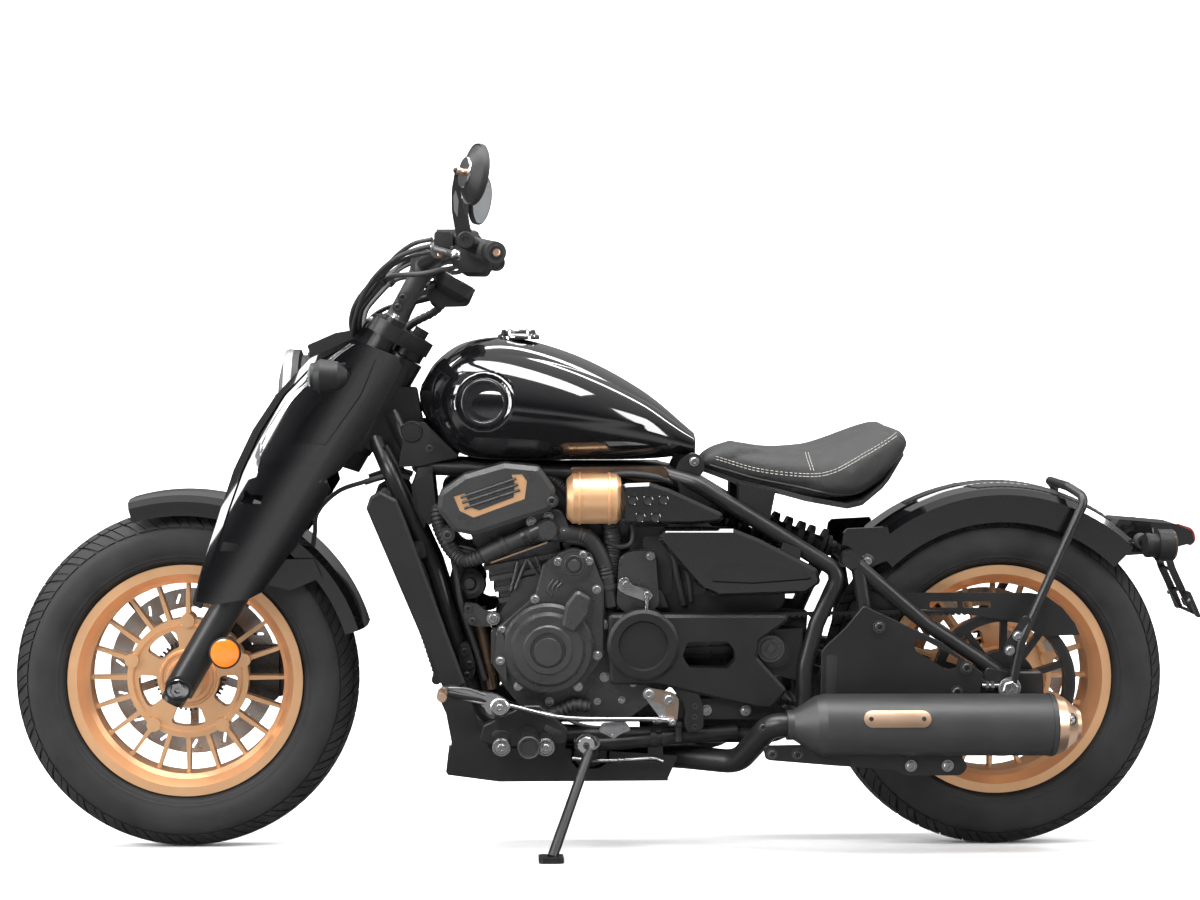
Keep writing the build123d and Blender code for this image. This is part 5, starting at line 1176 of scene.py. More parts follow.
# %% Cover screws
COVER_SCREWS = [(114, 486), (174, 429), (177, 375), (144, 325), (34, 324), (-1, 382), (1, 504), (16, 557),
                (27, 568), (72, 556), (86, 291)]
side_screws("cover_screws", COVER_SCREWS, ["engine_covers", "engine_block"], size=1.25)
side_screws("belt_cover_screws", [(-15, 435), (-16, 337)], ["engine_block"], size=1.35, hands=LEFT)
side_screws("ear_screws", [(273, 605), (85, 668)], ["valve_covers"], "engine_black", 1.7)
side_screws("case_screws", [(-3, 291), (-48, 294), (-69, 325)], ["engine_block", "frame"], size=1.0)
print("screws round the covers")

# %% [markdown]
# ## Cooling ribs over the gold inlays
#
# Three thin black ribs cross each gold inlay. They are one rib three times over, so they are
# copied on points; each point also carries the direction that its rib runs along.

# %% Inlay ribs
RIB_ENDS = [((250, 674), (149, 709)), ((246, 665), (147, 698)), ((242, 655), (144, 688))]
RIB_Y = 164.2
rib = keep_aside(hose("inlay_rib", [(-53, 0, 0), (0, 0, 0), (53, 0, 0)], 2.6, 10, 4))
for hand, side in HANDS:
    rows = []
    for (x0, z0), (x1, z1) in RIB_ENDS:
        run = Vector((x1 - x0, 0, z1 - z0)).normalized()
        rows.append((Vector(((x0 + x1) / 2, RIB_Y * hand, (z0 + z1) / 2)), OUT * hand, run))
    copies("inlay_ribs" + side, rows, rib, "chassis", "engine_black")
print("ribs over the inlays")

# %% [markdown]
# ## Corrugated hoses
#
# A corrugated hose is a bent tube whose radius swells and narrows along its way. The hose
# bender takes a function for that, and rings bigger than the tube make the hose clamps.

# %% Coolant hoses and their housing
HOUSING = [(66, 592), (48, 606), (66, 650), (100, 650), (134, 634), (126, 604), (104, 596)]
DOME = [(0, 0), (21, 0), (21, 12), (19.5, 15), (17.5, 15), (17.5, 25), (16, 27), (0, 27)]
NECK = [(92, 128, 618), (112, 127, 611), (128, 126, 602)]
FRONT_HOSE = [(122, 126, 604), (146, 126, 594), (187, 124, 575), (218, 120, 560), (243, 114, 555), (262, 106, 567),
              (280, 96, 592), (292, 86, 622), (296, 76, 652)]
REAR_HOSE = [(70, 118, 604), (44, 118, 604), (14, 116, 594), (-9, 112, 556), (-18, 110, 520), (-24, 106, 470)]
BRAID = [(-22, 96, 640), (-30, 98, 580), (-27, 98, 535), (-24, 96, 500), (-29, 90, 452)]
UPPER_HOSE = [(112, 60, 716), (88, 60, 704), (62, 62, 684), (50, 64, 668)]
CLAMPS = (((134, 126, 599), (0.8, 0, -0.5), 16.4, "frame_black"),
          ((170, 125, 583), (0.9, 0, -0.42), 15.9, "rough_black"),
          ((-20, 108, 506), (0.1, 0, 1), 17.0, "rough_black"))


def front_hose_swell(t):
    """A cuff, a plain length, and then corrugations."""
    return 1.08 if t < 0.1 else 1.0 if t < 0.34 else 0.86 + 0.07 * sin(2 * pi * 34 * t)


cut("coolant_housing", "engine_black", HOUSING, 12, 126, 104, 3)
turned("coolant_dome", "engine_black", DOME, (92, 124, 614), 48)
bolts("coolant_screws", [(121, 126, 627), (90, 126, 636), (61, 126, 606)], size=1.35)
bent("coolant_neck", "engine_black", NECK, 14, 20, 6)
for name, line, radius, sides, steps, swell in (("front_hose", FRONT_HOSE, 15.5, 20, 12, front_hose_swell),
                                                ("rear_hose", REAR_HOSE, 15.6, 20, 10, corrugated(26, 0.05, 0.25)),
                                                ("braided_hose", BRAID, 16.5, 24, 24, corrugated(36, 0.05)),
                                                ("upper_hose", UPPER_HOSE, 11, 16, 12, corrugated(16, 0.06))):
    bent(name, "rubber", line, radius, sides, steps, swell, angle=40)
for hand, side in HANDS:
    for k, (place, run, r, wear) in enumerate(CLAMPS):
        band = [(r - 1, -5), (r + 1.6, -4.5), (r + 2.2, 0), (r + 1.6, 4.5), (r - 1, 5)]
        settle(lathe(f"hose_clamp{side}_{k}", band, flip(place, hand), run, 40), "chassis", wear)
print("hoses, clamps and housings made")

# %% Gasket edges, barrel ribs and casting marks
BARREL_RIBS = [[(158, 498), (150, 530), (145, 552)], [(129, 556), (118, 540), (104, 523), (97, 510)],
               [(114, 561), (106, 545), (100, 529)], [(129, 556), (140, 528), (150, 500)]]
ARCS = [[(84, 491), (90, 505), (80, 522)], [(75, 488), (82, 505), (71, 520)], [(68, 488), (74, 504), (65, 516)]]
COVER_RINGS = ((19, 15, 43, 549, 3), (11, 0, 43, 549, 5), (36, 32, 90, 392, 2.5), (26, 0, 90, 392, 4))
COVERS = ("engine_covers", "engine_block")
bent("barrel_rib", "engine_black", [[(x, 108, z) for x, z in line] for line in BARREL_RIBS], 3.2, 10, 6)
for hand, side in HANDS:
    gasket = plate("gasket_edge" + side, [(195, 548), (195, 551), (91, 589), (91, 586)], 110 * hand, 96 * hand)
    settle(gasket, "chassis", "champagne")
    for k, line in enumerate(ARCS):
        spots = [landing(x, z, *COVERS, hand=hand) for x, z in line]
        settle(hose(f"casting_arc{side}_{k}", spots, 2.6, 10, 8), "chassis", "engine_black")
    for k, (r_out, r_in, x, z, high) in enumerate(COVER_RINGS):
        ring = [(r_in, -3), (r_out, -3), (r_out, high - 1), (r_out - 1, high), (r_in + (1 if r_in else 0), high)]
        ring += [(r_in, high - 1)] if r_in else []
        spot = landing(x, z, *COVERS, hand=hand)
        settle(lathe(f"cover_ring{side}_{k}", ring, spot, (0, hand, 0), 64), "chassis", "engine_black")
print("gasket edges and ribs made")

# %% [markdown]
# ## Behind the covers
#
# Through the gaps between the covers one looks into a dense dark heap: the gearbox's rear
# casting, the shift arm, connectors and cable looms. Without them daylight would shine
# through the machine. They are simple shapes, but each is a thing that could be there.

# %% Gearbox rear, battery box and looms
REAR_CASE = [(-100, 470), (-118, 330), (-190, 300), (-268, 322), (-292, 372), (-292, 458), (-230, 486)]
BATTERY_BOX = [(-60, 612), (-66, 470), (-130, 448), (-300, 446), (-352, 466), (-352, 516), (-300, 548), (-212, 612)]
PANEL_ENDS = ((-86, -140), (-150, -204), (-214, -268))
FIN_HEIGHTS = (340, 356, 372, 388)
GEAR_ARM = [(-42, 524), (-36, 504), (-52, 494), (-92, 480), (-104, 490), (-94, 504), (-60, 512), (-56, 526)]
ARM_BACK = [(-40, 560), (-58, 572), (-106, 574), (-116, 470), (-72, 448), (-36, 470)]
LOOMS = [[(-50, 110, 640), (-66, 112, 612), (-62, 112, 586), (-40, 112, 580), (-16, 112, 590)],
         [(-128, 100, 600), (-142, 104, 560), (-150, 100, 520), (-162, 92, 470)],
         [(-140, 96, 604), (-158, 100, 562), (-170, 98, 522), (-176, 90, 476)],
         [(20, 96, 700), (-6, 100, 706), (-52, 92, 712), (-110, 88, 706), (-160, 80, 690)]]
cut("gearbox_rear", "engine_black", REAR_CASE, 18, 76, -76, 5, hands=MIDDLE)
cut("battery_box", "moulded_black", BATTERY_BOX, 12, 88, -88, 4, hands=MIDDLE)
for hand, side in HANDS:
    for k, (x0, x1) in enumerate(PANEL_ENDS):
        cut(f"battery_panel{side}_{k}", "rough_black", [(x0, 596), (x0, 486), (x1, 490), (x1, 596)], 8,
            91 * hand, 86 * hand, 1.6, hands=MIDDLE)
    for k, z in enumerate(FIN_HEIGHTS):
        fin = [(-150, z + 26), (-150, z + 30), (-262, z + 38), (-262, z + 34)]
        cut(f"gearbox_fin{side}_{k}", "engine_black", fin, 2, 80 * hand, 74 * hand, 0.8, hands=MIDDLE)
cut("gear_arm", "brushed_alloy", GEAR_ARM, 6, 128, 122, 1.5)
cut("gear_arm_back", "engine_black", ARM_BACK, 10, 120, 88, 3)
bolts("gear_arm_screws", [(-52, 128, 512), (-92, 128, 493), (-98, 120, 564)], size=1.2)
bent("gear_arm_rod", "brushed_alloy", [(-91, 131, 494), (-91, 131, 478), (-90, 131, 452)], 4, 12, 4)
bent("loom", "rubber", LOOMS, (5, 6.5, 5, 7), angle=40)
print("the heap behind the covers is filled")

# %% Mounts, strap and clips on the front of the frame
MOUNT = [(243, 476), (222, 474), (203, 460), (176, 456), (178, 440), (194, 432), (228, 432), (243, 446)]
TUBE_LUG = [(254, 396), (236, 402), (222, 356), (226, 330), (244, 326), (252, 352)]
HORN = [(0, -14), (24, -14), (28, -8), (28, 4), (20, 8), (19, 3), (12, 3), (10, 9), (0, 10)]
FRONT_LOOM = [(300, 80, 640), (276, 84, 600), (262, 84, 540), (250, 88, 470), (226, 92, 400), (204, 96, 330)]
BRONZE_PIPE = [(216, 78, 440), (206, 80, 400), (196, 82, 350), (190, 82, 312)]
cut("engine_mount", "engine_black", MOUNT, 6, 112, 98, 2)
cut("case_strap", "engine_black", [(194, 428), (174, 428), (174, 364), (194, 364)], 4, 124, 100, 2)
cut("down_tube_lug", "frame_black", TUBE_LUG, 8, 92, 74, 3)
bolts("mount_screw", [(190, 112, 447)], size=1.8)
bolts("mount_screws_small", [(236, 112, 466), (228, 112, 443)], "engine_black", 1.3)
bolts("strap_screws", [(178, 124, 420), (180, 124, 372)])
bolts("lug_screws", [(243, 92, 382), (233, 92, 358), (238, 92, 338)], "frame_black", 1.5)
turned("horn", "rough_black", HORN, (232, 64, 505), 48, (0.3, 1, 0.1))
bent("front_loom", "rubber", FRONT_LOOM, 5.5, angle=40)
bent("bronze_pipe", "pipe_bronze", BRONZE_PIPE, 12, 18)
print("mounts and looms at the front made")

# %% [markdown]
# ## The radiator
#
# The core is hundreds of thin folded fins between flat tubes. From outside one sees fine
# lines, so the tubes are one louvre copied up the sloping face, and the fins are a second
# copy set, both made by the same tree.

# %% Radiator tubes and fins
CORE_LOW, CORE_HIGH = Vector((292, 0, 330)), Vector((402, 0, 664))
TUBES, TUBE_PITCH, FINS, FIN_PITCH = 36, 9.0, 47, 5
climb = (CORE_HIGH - CORE_LOW).normalized()
outward = Vector((climb.z, 0, -climb.x))


def upright_bar(name, half_long, half_thick, outer, inner, edge, upwards):
    """A thin bar to copy up or along the core."""
    wide, high = (half_thick, half_long) if upwards else (half_long, half_thick)
    bar = plate(name, box_outline(wide, high), outer, inner, edge)
    bar.data.transform(Matrix.Rotation(pi / 2, 4, "X"))
    return keep_aside(bar)


tube = upright_bar("core_tube", 118, 1.4, 3.0, -2.0, 0.5, False)
fin = upright_bar("core_fin", 160, 0.5, 2.0, -2.0, 0.0, True)
rows = [(CORE_LOW + climb * (14 + TUBE_PITCH * k) + outward * 0.5, outward, OUT) for k in range(TUBES)]
copies("radiator_tubes", rows, tube, "chassis", "core_alloy")
middle = (CORE_LOW + CORE_HIGH) / 2 + outward * 0.2
rows = [(middle + Vector((0, -115 + FIN_PITCH * k, 0)), outward, OUT) for k in range(FINS)]
copies("radiator_fins", rows, fin, "chassis", "core_alloy")
ends = [[end + Vector((0, y, 0)) for y in (-122, 0, 122)] for end in (CORE_LOW + climb * 5, CORE_HIGH - climb * 5)]
bent("radiator_tank", "moulded_black", ends, 9, 16, 4, hands=MIDDLE)
print("radiator core of", TUBES, "tubes")

# %% Dimples on the intake covers, with painted shade in their hollows
DIMPLES = ((-61, 670), (-89, 670), (-117, 671), (-75, 639), (-103, 639))
DIMPLE_LIP = [(7.6, -1.5), (10, -1.5), (10, 0.3), (9, 0.9), (7.9, 0.5)]
# A dark matt disc at the bottom of each dimple is painted shade in its hollow.
DIMPLE_SHADE_DISC = [(0, -3), (7.8, -3), (7.8, -1), (0, -2)]
for hand, side in HANDS:
    for k, (x, z) in enumerate(DIMPLES):
        face = landing(x, z + 13, "side_covers", hand=hand).y
        for word, wear, profile in (("lip", "gloss_black", DIMPLE_LIP), ("floor", "rough_black", DIMPLE_SHADE_DISC)):
            made = lathe(f"dimple_{word}{side}_{k}", profile, (x, face, z), (0, hand, 0), 32)
            settle(made, "chassis", wear)
print("dimples lipped")

# %% [markdown]
# ## Belt teeth
#
# The belt runs round two pulleys of different size, so its straight runs aren't parallel.
# Their slope follows from the pulleys' radii, and the teeth are spread along both runs.

# %% Teeth along both runs
SMALL_PULLEY, LARGE_PULLEY, SMALL_R, LARGE_R = Vector((-84, 0, 403)), Vector((-761, 0, 323.2)), 44, 132.5
BELT_Y, TOOTH_PITCH = 91, 11
between = LARGE_PULLEY - SMALL_PULLEY
slope = (LARGE_R - SMALL_R) / between.length
along_belt = between.normalized()
square = Vector((along_belt.z, 0, -along_belt.x))
tooth = keep_aside(plate("belt_tooth", [(-3.6, 0), (-2.4, -3.2), (2.4, -3.2), (3.6, 0)], 9.5, -9.5, 0.5))
rows = []
for sign in (1, -1):
    normal = square * sign * sqrt(1 - slope ** 2) - along_belt * slope
    start, end = SMALL_PULLEY + normal * SMALL_R, LARGE_PULLEY + normal * LARGE_R
    count = int((end - start).length / TOOTH_PITCH)
    rows += [(start.lerp(end, (k + 0.5) / count) + OUT * BELT_Y, normal, along_belt) for k in range(count)]
copies("belt_teeth", rows, tooth, "chassis", "rubber")
print(len(rows), "belt teeth")

# %% [markdown]
# ## Foot controls and the shift linkage
#
# The bracket, pegs and rods are CAD solids. The cast levers get a brushed shell with raised
# edges, the bracket its rubber bushes, and the linkage its ball joints and bolts.

# %% Levers, bushes and ball joints
LEVER_PLAN = [(289, 327), (282, 336), (262, 338), (205, 326), (188, 325), (172, 317), (158, 304), (160, 294),
              (172, 287), (190, 282), (203, 292), (206, 304), (262, 318), (281, 316)]
LEVER_EDGES = [[(270, 205, 335), (236, 205, 333), (204, 205, 322)],
               [(268, 205, 320), (236, 205, 313), (206, 205, 306)]]
TOE = [(0, -4), (8, -4), (9.5, -1), (9.5, 44), (8, 47), (0, 47)]
LEVER_BOSS = [(0, 0), (17, 0), (17, 4), (14, 6), (14, 4), (9, 4), (9, 7), (0, 7)]
BUSH = [(0, 0), (17, 0), (17, 4), (15, 7), (13, 7), (12, 4), (0, 4)]
BRACKET_PIN = [(0, 0), (4.5, 0), (4.5, 8), (3, 9), (3, 12), (5, 14), (5.6, 17), (4.5, 20), (0, 21)]
HOLLOWS = ([(192, 246), (190, 238), (164, 238), (158, 244), (166, 252), (186, 252)],
           [(94, 262), (66, 250), (64, 242), (82, 242), (98, 252)])
PEG_END = [(0, -3), (19, -3), (20.5, -1), (20.5, 4), (18.5, 6), (17, 5), (15, 5), (14, 3), (0, 3)]
CRANK = [(-84, 322), (-96, 326), (-140, 318), (-150, 304), (-146, 262), (-136, 254), (-126, 262), (-124, 294),
         (-104, 302), (-86, 308)]
LINK_BALL = [(0, -7)] + [(8 * sin(pi * k / 8), -8 * cos(pi * k / 8)) for k in range(2, 7)] + [(0, 7)]
ROD_RUN = (1, 0, 0.08)
cut("foot_lever", "brushed_alloy", LEVER_PLAN, 7, 205, 194, 2.2)
bent("lever_edge", "brushed_alloy", LEVER_EDGES, 2.4, 10)
turned("lever_toe", "champagne", TOE, (280, 205, 326), 28)
turned("lever_boss", "brushed_alloy", LEVER_BOSS, (178, 204, 300))
bolts("lever_screw", [(178, 208, 300)], size=1.3)
turned("bracket_bush", "zinc_steel", BUSH, [(174, 176, 221), (94, 176, 221)])
bolts("bracket_screws", [(174, 181, 221), (94, 181, 221)], size=1.5)
turned("bracket_pin", "zinc_steel", BRACKET_PIN, (128, 176, 210), 24, (0, 0.25, 1))
for hand, side in HANDS:
    for k, window in enumerate(HOLLOWS):
        cut(f"bracket_hollow{side}_{k}", "rough_black", window, 4, 173.6 * hand, 168 * hand, 1.0, hands=MIDDLE)
turned("peg_end", "rubber", PEG_END, (126, 300, 246))
cut("bell_crank", "champagne_dull", CRANK, 6, 161, 157.5, 1.2, hands=MIDDLE)
bolts("bell_crank_screws", [(-131, 161, 306), (-94, 161, 316)], size=1.6, hands=MIDDLE)
turned("linkage_ball", "zinc_steel", LINK_BALL, (-137, 168, 266), 28, hands=MIDDLE)
bolts("linkage_ball_screw", [(-137, 173, 266)], size=0.9, hands=MIDDLE)
turned("rod_end_nut", "zinc_steel", [(0, -9), (6.5, -9), (6.5, 5), (5, 7), (0, 7)], (-108, 168, 268), 6, ROD_RUN,
       hands=MIDDLE)
turned("rod_end_eye", "zinc_steel", [(0, -10), (5, -10), (5, 10), (0, 10)], (-122, 168, 267), 20, ROD_RUN,
       hands=MIDDLE)
bent("shift_rod_shine", "brushed_alloy", [(160, 187, 299), (60, 187, 276.5), (-90, 171, 270.5), (-128, 168, 268)],
     4.5, 16, 10, hands=MIDDLE)
print("controls dressed")

# %% Stand pivot, small plate, switches and the low pipes
PIVOT = Vector((20, 176, 224))
PIVOT_DISC = [(0, 0), (16, 0), (16, 3), (14.5, 4.5), (6.5, 4.5), (6.5, 2.5), (0, 2.5)]
PIVOT_CUP = [(16.4, -8), (21, -8), (21, 1), (19, 2.4), (16.4, 2.4)]
HANGER = [(-128, 336), (-150, 344), (-184, 318), (-196, 292), (-196, 246), (-166, 240), (-160, 262), (-164, 290),
          (-146, 312)]
HANGER_HOLE = [(2.4, -1), (5.4, -1), (5.4, 1.2), (2.4, 1.2)]
STAND_SWITCH = [(-10, 262), (-52, 264), (-62, 250), (-44, 244), (-30, 234), (-16, 242), (-2, 248)]
SWITCH_WIRE = [(-4, 162, 254), (18, 160, 256), (44, 150, 262), (62, 140, 270)]
CASE_HOSE = [(88, 118, 268), (62, 120, 278), (40, 122, 288), (14, 118, 284)]
PAN_PIPE = [(44, 140, 192), (0, 142, 188), (-60, 144, 190), (-104, 144, 192), (-122, 140, 186)]
UNDER_PIPE = [(40, 116, 214), (-40, 117, 216), (-120, 116, 224), (-196, 114, 232), (-262, 114, 238)]
BUMPER = [(0, -4), (7, -4), (7, 24), (9, 26), (9.6, 30), (8, 34), (0, 35)]
UNDER_CLAMP = [(12.5, -5), (16, -5), (16, 5), (12.5, 5)]
SHIELD = [(-76, 293), (-192, 295), (-360, 269), (-361, 251), (-305, 236), (-219, 190), (-86, 242)]
turned("stand_pivot_disc", "seal_silver", PIVOT_DISC, PIVOT, 48, body="side_stand", hands=MIDDLE)
turned("stand_pivot_cup", "frame_black", PIVOT_CUP, PIVOT, 48, body="side_stand", hands=MIDDLE)
bolts("stand_pivot_screw", [PIVOT + OUT * 3], "engine_black", 0.85, body="side_stand", hands=MIDDLE)
cut("rocker_hanger", "frame_black", HANGER, 8, 146, 138, 2, hands=MIDDLE)
turned("hanger_hole", "rough_black", HANGER_HOLE, [(-180, 146.4, z) for z in (290, 270, 252)], 24, hands=MIDDLE)
bolts("rail_screws", [(-203, 128, 279), (-276, 128, 278)], size=1.45, hands=LEFT)
cut("rail_plate", "frame_black", [(-150, 300), (-330, 300), (-352, 262), (-150, 262)], 6, 127, 112, 2, hands=MIDDLE)
cut("stand_switch", "zinc_steel", STAND_SWITCH, 4, 168, 156, 1.5, hands=MIDDLE)
bolts("stand_switch_screws", [(-30, 168, 240), (-48, 168, 256)], "brushed_alloy", 0.8, hands=MIDDLE)
bent("stand_switch_wire", "rubber", SWITCH_WIRE, 3.4, hands=MIDDLE)
bent("case_hose", "rubber", CASE_HOSE, 11, 18, 14, corrugated(8, 0.12, 0.2), hands=MIDDLE, angle=40)
bent("pan_pipe", "zinc_steel", PAN_PIPE, 3.6, hands=MIDDLE)
bent("under_pipe", "frame_black", UNDER_PIPE, 13, 20, hands=MIDDLE)
turned("stand_stop", "rubber", BUMPER, (-152, 129, 226), 28, (0, 0.1, 1), hands=MIDDLE)
turned("under_clamp", "frame_black", UNDER_CLAMP, [(x, 116, 224) for x in (-106, -127)], 32, (1, 0, 0), hands=MIDDLE)
side_screws("pipe_screws", [(-296, 266), (-210, 215)], ["exhaust_pipes", "mufflers"], "engine_black", 1.3)
cut("lower_shield", "rough_black", SHIELD, 8, 50, 44, 1, hands=MIDDLE)
print("stand pivot and low pipes made")

# %% [markdown]
# ## Silencer plate, end caps and brackets
#
# The silencer's plate is a bare champagne capsule. It is drawn flat, in strips, and then
# wrapped onto the round barrel. The end caps have one drilled screw each.

# %% Plate, cap screws and bracket screws
BARREL_Y, BARREL_Z, BARREL_R = 214, 268, 56
CAPSULE_STRIPS = 16
CAPSULE_X, CAPSULE_Z, CAPSULE_LIFT, CAPSULE_SINK = (-593, -472), (274, 304), 1.6, 1.5
CAP_HOLE = [(5.5, -2), (11, -2), (11, 0.6), (8, 1.2), (5.5, 0)]
BRACKET = [(-298, 231), (-368, 232), (-400, 228), (-560, 226), (-655, 216), (-672, 193), (-660, 176),
           (-556, 176), (-540, 187), (-431, 194), (-302, 205)]
BRACKET_BOLTS = (("rear", "zinc_steel", (-567, -634), 194), ("front", "engine_black", (-314, -360), 216))


def wrapped_capsule(name, hand):
    """A flat capsule of strips, wrapped on the silencer's barrel."""
    (x0, x1), (z0, z1) = CAPSULE_X, CAPSULE_Z
    half, mid = (z1 - z0) / 2, (z1 + z0) / 2
    bm = bmesh.new()
    layers = ([], [])
    for k in range(CAPSULE_STRIPS + 1):
        a = -pi / 2 + pi * k / CAPSULE_STRIPS
        inset = half - half * cos(a)
        around = (mid + half * sin(a) - BARREL_Z) / BARREL_R
        for layer, lift in zip(layers, (-CAPSULE_SINK, CAPSULE_LIFT)):
            r = BARREL_R + 0.2 + lift
            y, z = hand * (BARREL_Y + r * cos(around)), BARREL_Z + r * sin(around)
            layer.append([bm.verts.new((x, y, z)) for x in (x0 + inset, x1 - inset)])
    rings = [[low[0], low[1], high[1], high[0]] for low, high in zip(*layers)]
    join_rings(bm, rings)
    return from_bmesh(name, bm)


for hand, side in HANDS:
    settle(wrapped_capsule("silencer_plate" + side, hand), "chassis", "champagne")
    screws("silencer_plate_screws" + side, [(x, hand * 267.3, 289) for x in (-580, -485)], "chassis",
           "engine_black", 0.62, (0, hand * 0.93, 0.37))
    spot, slanted = landing(-850, 286, "muffler_caps", hand=hand), (-0.45, 0.85 * hand, 0.25)
    settle(lathe("cap_hole" + side, CAP_HOLE, spot, slanted, 32), "chassis", "chrome")
    screws("cap_screw_end" + side, [spot], "chassis", "zinc_steel", 0.8, slanted)
    outer = abs(landing(-600, 192, "mufflers", hand=hand).y)
    cut("silencer_bracket" + side, "frame_black", BRACKET, 8, (outer + 1.5) * hand, (outer - 5) * hand, 2,
        hands=MIDDLE)
    for word, wear, xs, z in BRACKET_BOLTS:
        places = [(x, (outer + 1.5) * hand, z) for x in xs]
        screws(f"bracket_screws_{word}{side}", places, "chassis", wear, 1.6, (0, hand, 0))
SILENCER_BAND = [(56.3, -3), (57.4, -3), (57.4, 3), (56.3, 3)]
turned("silencer_band", "muffler_black", SILENCER_BAND, (-820, BARREL_Y, BARREL_Z), 80, (1, 0, 0))
print("silencers dressed")

# %% [markdown]
# ## The rear end
#
# Bolts on the swingarm plate and the fender, axle adjusters, pivot caps and lenses.

# %% Rear screws and adjusters
EYE_RING = [(7, -3), (13, -3), (14, 0), (13, 6), (7, 6)]
ROD, ROD_NUT = [(0, 0), (4.5, 0), (4.5, 34), (0, 34)], [(0, -3), (8.5, -3), (8.5, 3), (0, 3)]
FENDER_BUSH = [(0, -4), (13, -4), (13, 2), (10, 4), (0, 4)]
PIVOT_RINGS = ((0, 26, 2.5), (14, 19, 4.5), (0, 8, 5))
ARM_SLOT = [(-418, 392), (-446, 394), (-448, 306), (-420, 304)]
side_screws("plate_screws", [(-518, 437), (-681, 361), (-664, 316)], ["swingarm_plate"], "engine_black", 1.8, LEFT)
turned("adjuster_eye", "seal_silver", EYE_RING, (-756, 150, 328))
turned("adjuster_rod", "zinc_steel", ROD, (-745, 146, 327), 20, (1, 0, 0))
turned("adjuster_nut", "zinc_steel", ROD_NUT, [(-730, 146, 327), (-720, 146, 327)], 6, (1, 0, 0))
for hand, side in HANDS:
    spot = landing(-502, 553, "rear_fender", "frame", "shock", hand=hand)
    settle(lathe(f"fender_bush{side}_1", FENDER_BUSH, spot, (0, hand, 0), 32), "chassis", "frame_black")
    screws(f"fender_bush_screw{side}_1", [spot + OUT * 4 * hand], "chassis", size=1.3, facing=(0, hand, 0))
    pivot = landing(-320, 394, "frame", "belt_cover", "swingarm", hand=hand)
    for k, (r0, r1, high) in enumerate(PIVOT_RINGS):
        ring = [(r0, -2), (r1, -2), (r1, high - 1), (r1 - 1, high), (r0, high)]
        settle(lathe(f"pivot_cap{side}_{k}", ring, pivot, (0, hand, 0), 56), "chassis", "engine_black")
    outer, inner = (147.2, 140) if hand > 0 else (-110, -104)
    cut("arm_slot_pad" + side, "rough_black", ARM_SLOT, 12, outer, inner, 1.2, hands=MIDDLE)
print("rear screws on")

# %% Lamp lenses
TAIL_LENS = [(-1128, 612), (-1137, 600), (-1139, 584), (-1128, 574), (-1122, 590)]
SIGNAL_LENS = [(0, 2), (27, 2), (28.5, 0), (28.5, -4), (25, -7), (0, -9)]
SIGNAL_RING = [(21, -2), (23, -1), (23, 5), (21, 6)]
STEM_RIB = [(10, -2), (14, -2), (15, 0), (14, 2), (10, 2)]
PLATE_LAMP = [(-1058, 562), (-1096, 560), (-1102, 550), (-1062, 550)]
STRIP = [(-1049, 556), (-1060, 568), (-1092, 562), (-1104, 530), (-1120, 498), (-1141, 450), (-1135, 444),
         (-1108, 492), (-1092, 524), (-1084, 548), (-1066, 552)]
PLATE_BARS = ((-1070, 560, 36), (-1098, 528, 36), (-1122, 486, 52), (-1138, 448, 62))
PLATE_TAB = [(-1116, 492), (-1122, 492), (-1144, 444), (-1137, 442)]
REAR_REFLECTOR = [(-1138, 470), (-1143, 456), (-1140, 452), (-1134, 466)]
cut("tail_lens", "red_lens", TAIL_LENS, 4, 40, -40, 2, hands=MIDDLE)
for hand, side in HANDS:
    for k, (x, wear, cover) in enumerate(((-1066, "amber_smoke", SIGNAL_LENS),
                                          (-1026, "moulded_black", SIGNAL_RING))):
        settle(lathe(f"signal_lens{side}_{k}", cover, (x, 118 * hand, 585), (1, 0, 0), 48), "chassis", wear)
    for k in range(4):
        settle(lathe(f"signal_stem_rib{side}_{k}", STEM_RIB, (-1024, (70 + 7 * k) * hand, 588), OUT, 28), "chassis",
               "rubber")
cut("number_plate_lamp", "moulded_black", PLATE_LAMP, 3, 22, -22, 2, hands=MIDDLE)
for k, y in enumerate((38, -32)):
    strip = cut(f"plate_strip_{k}", "frame_black", STRIP, 4, y, y - 6, 1.2, hands=MIDDLE)
    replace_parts(strip, "plate_bracket")
bars = [[(x, -half, z), (x, 0, z), (x, half, z)] for x, z, half in PLATE_BARS]
bent("plate_bar", "frame_black", bars, 3.4, 12, 3, hands=MIDDLE)
for k, y in enumerate((-62, 62)):
    cut(f"plate_tab_{k}", "frame_black", PLATE_TAB, 2, y + 7, y - 7, 0.8, hands=MIDDLE)
screws("plate_tab_screws", [(-1123, y, 474) for y in (-62, 62)], "chassis", size=0.8, facing=(0.9, 0, 0.45))
cut("rear_reflector", "red_lens", REAR_REFLECTOR, 1.5, 26, -26, 0.8, hands=MIDDLE)
print("lenses on")

# %% [markdown]
# ## The spring
#
# The shock's coil is in the CAD model as solid turns. Only its ends get collars here.

# %% Shock collars
SHOCK_HIGH, SHOCK_LOW = Vector((-196, 0, 658)), Vector((-466, 0, 560))
run = (SHOCK_LOW - SHOCK_HIGH).normalized()
for k, (along, r) in enumerate(((34, 31), (250, 31), (262, 22))):
    collar = [(12, -4), (r, -4), (r, 3), (r - 2, 4), (12, 4)]
    turned(f"shock_collar_{k}", "frame_black", collar, SHOCK_HIGH + run * along, 40, run, hands=MIDDLE)
print("shock collars on")

# %% [markdown]
# ## The strip along the rear fender's spine
#
# A matt, finely ribbed plastic strip runs along the top of the fender, narrow at its ends.
# Rays sent in towards the axle find the fender's skin, so that the strip lies on it like a
# saddle. Every second row stands a little higher, which makes the ribs.

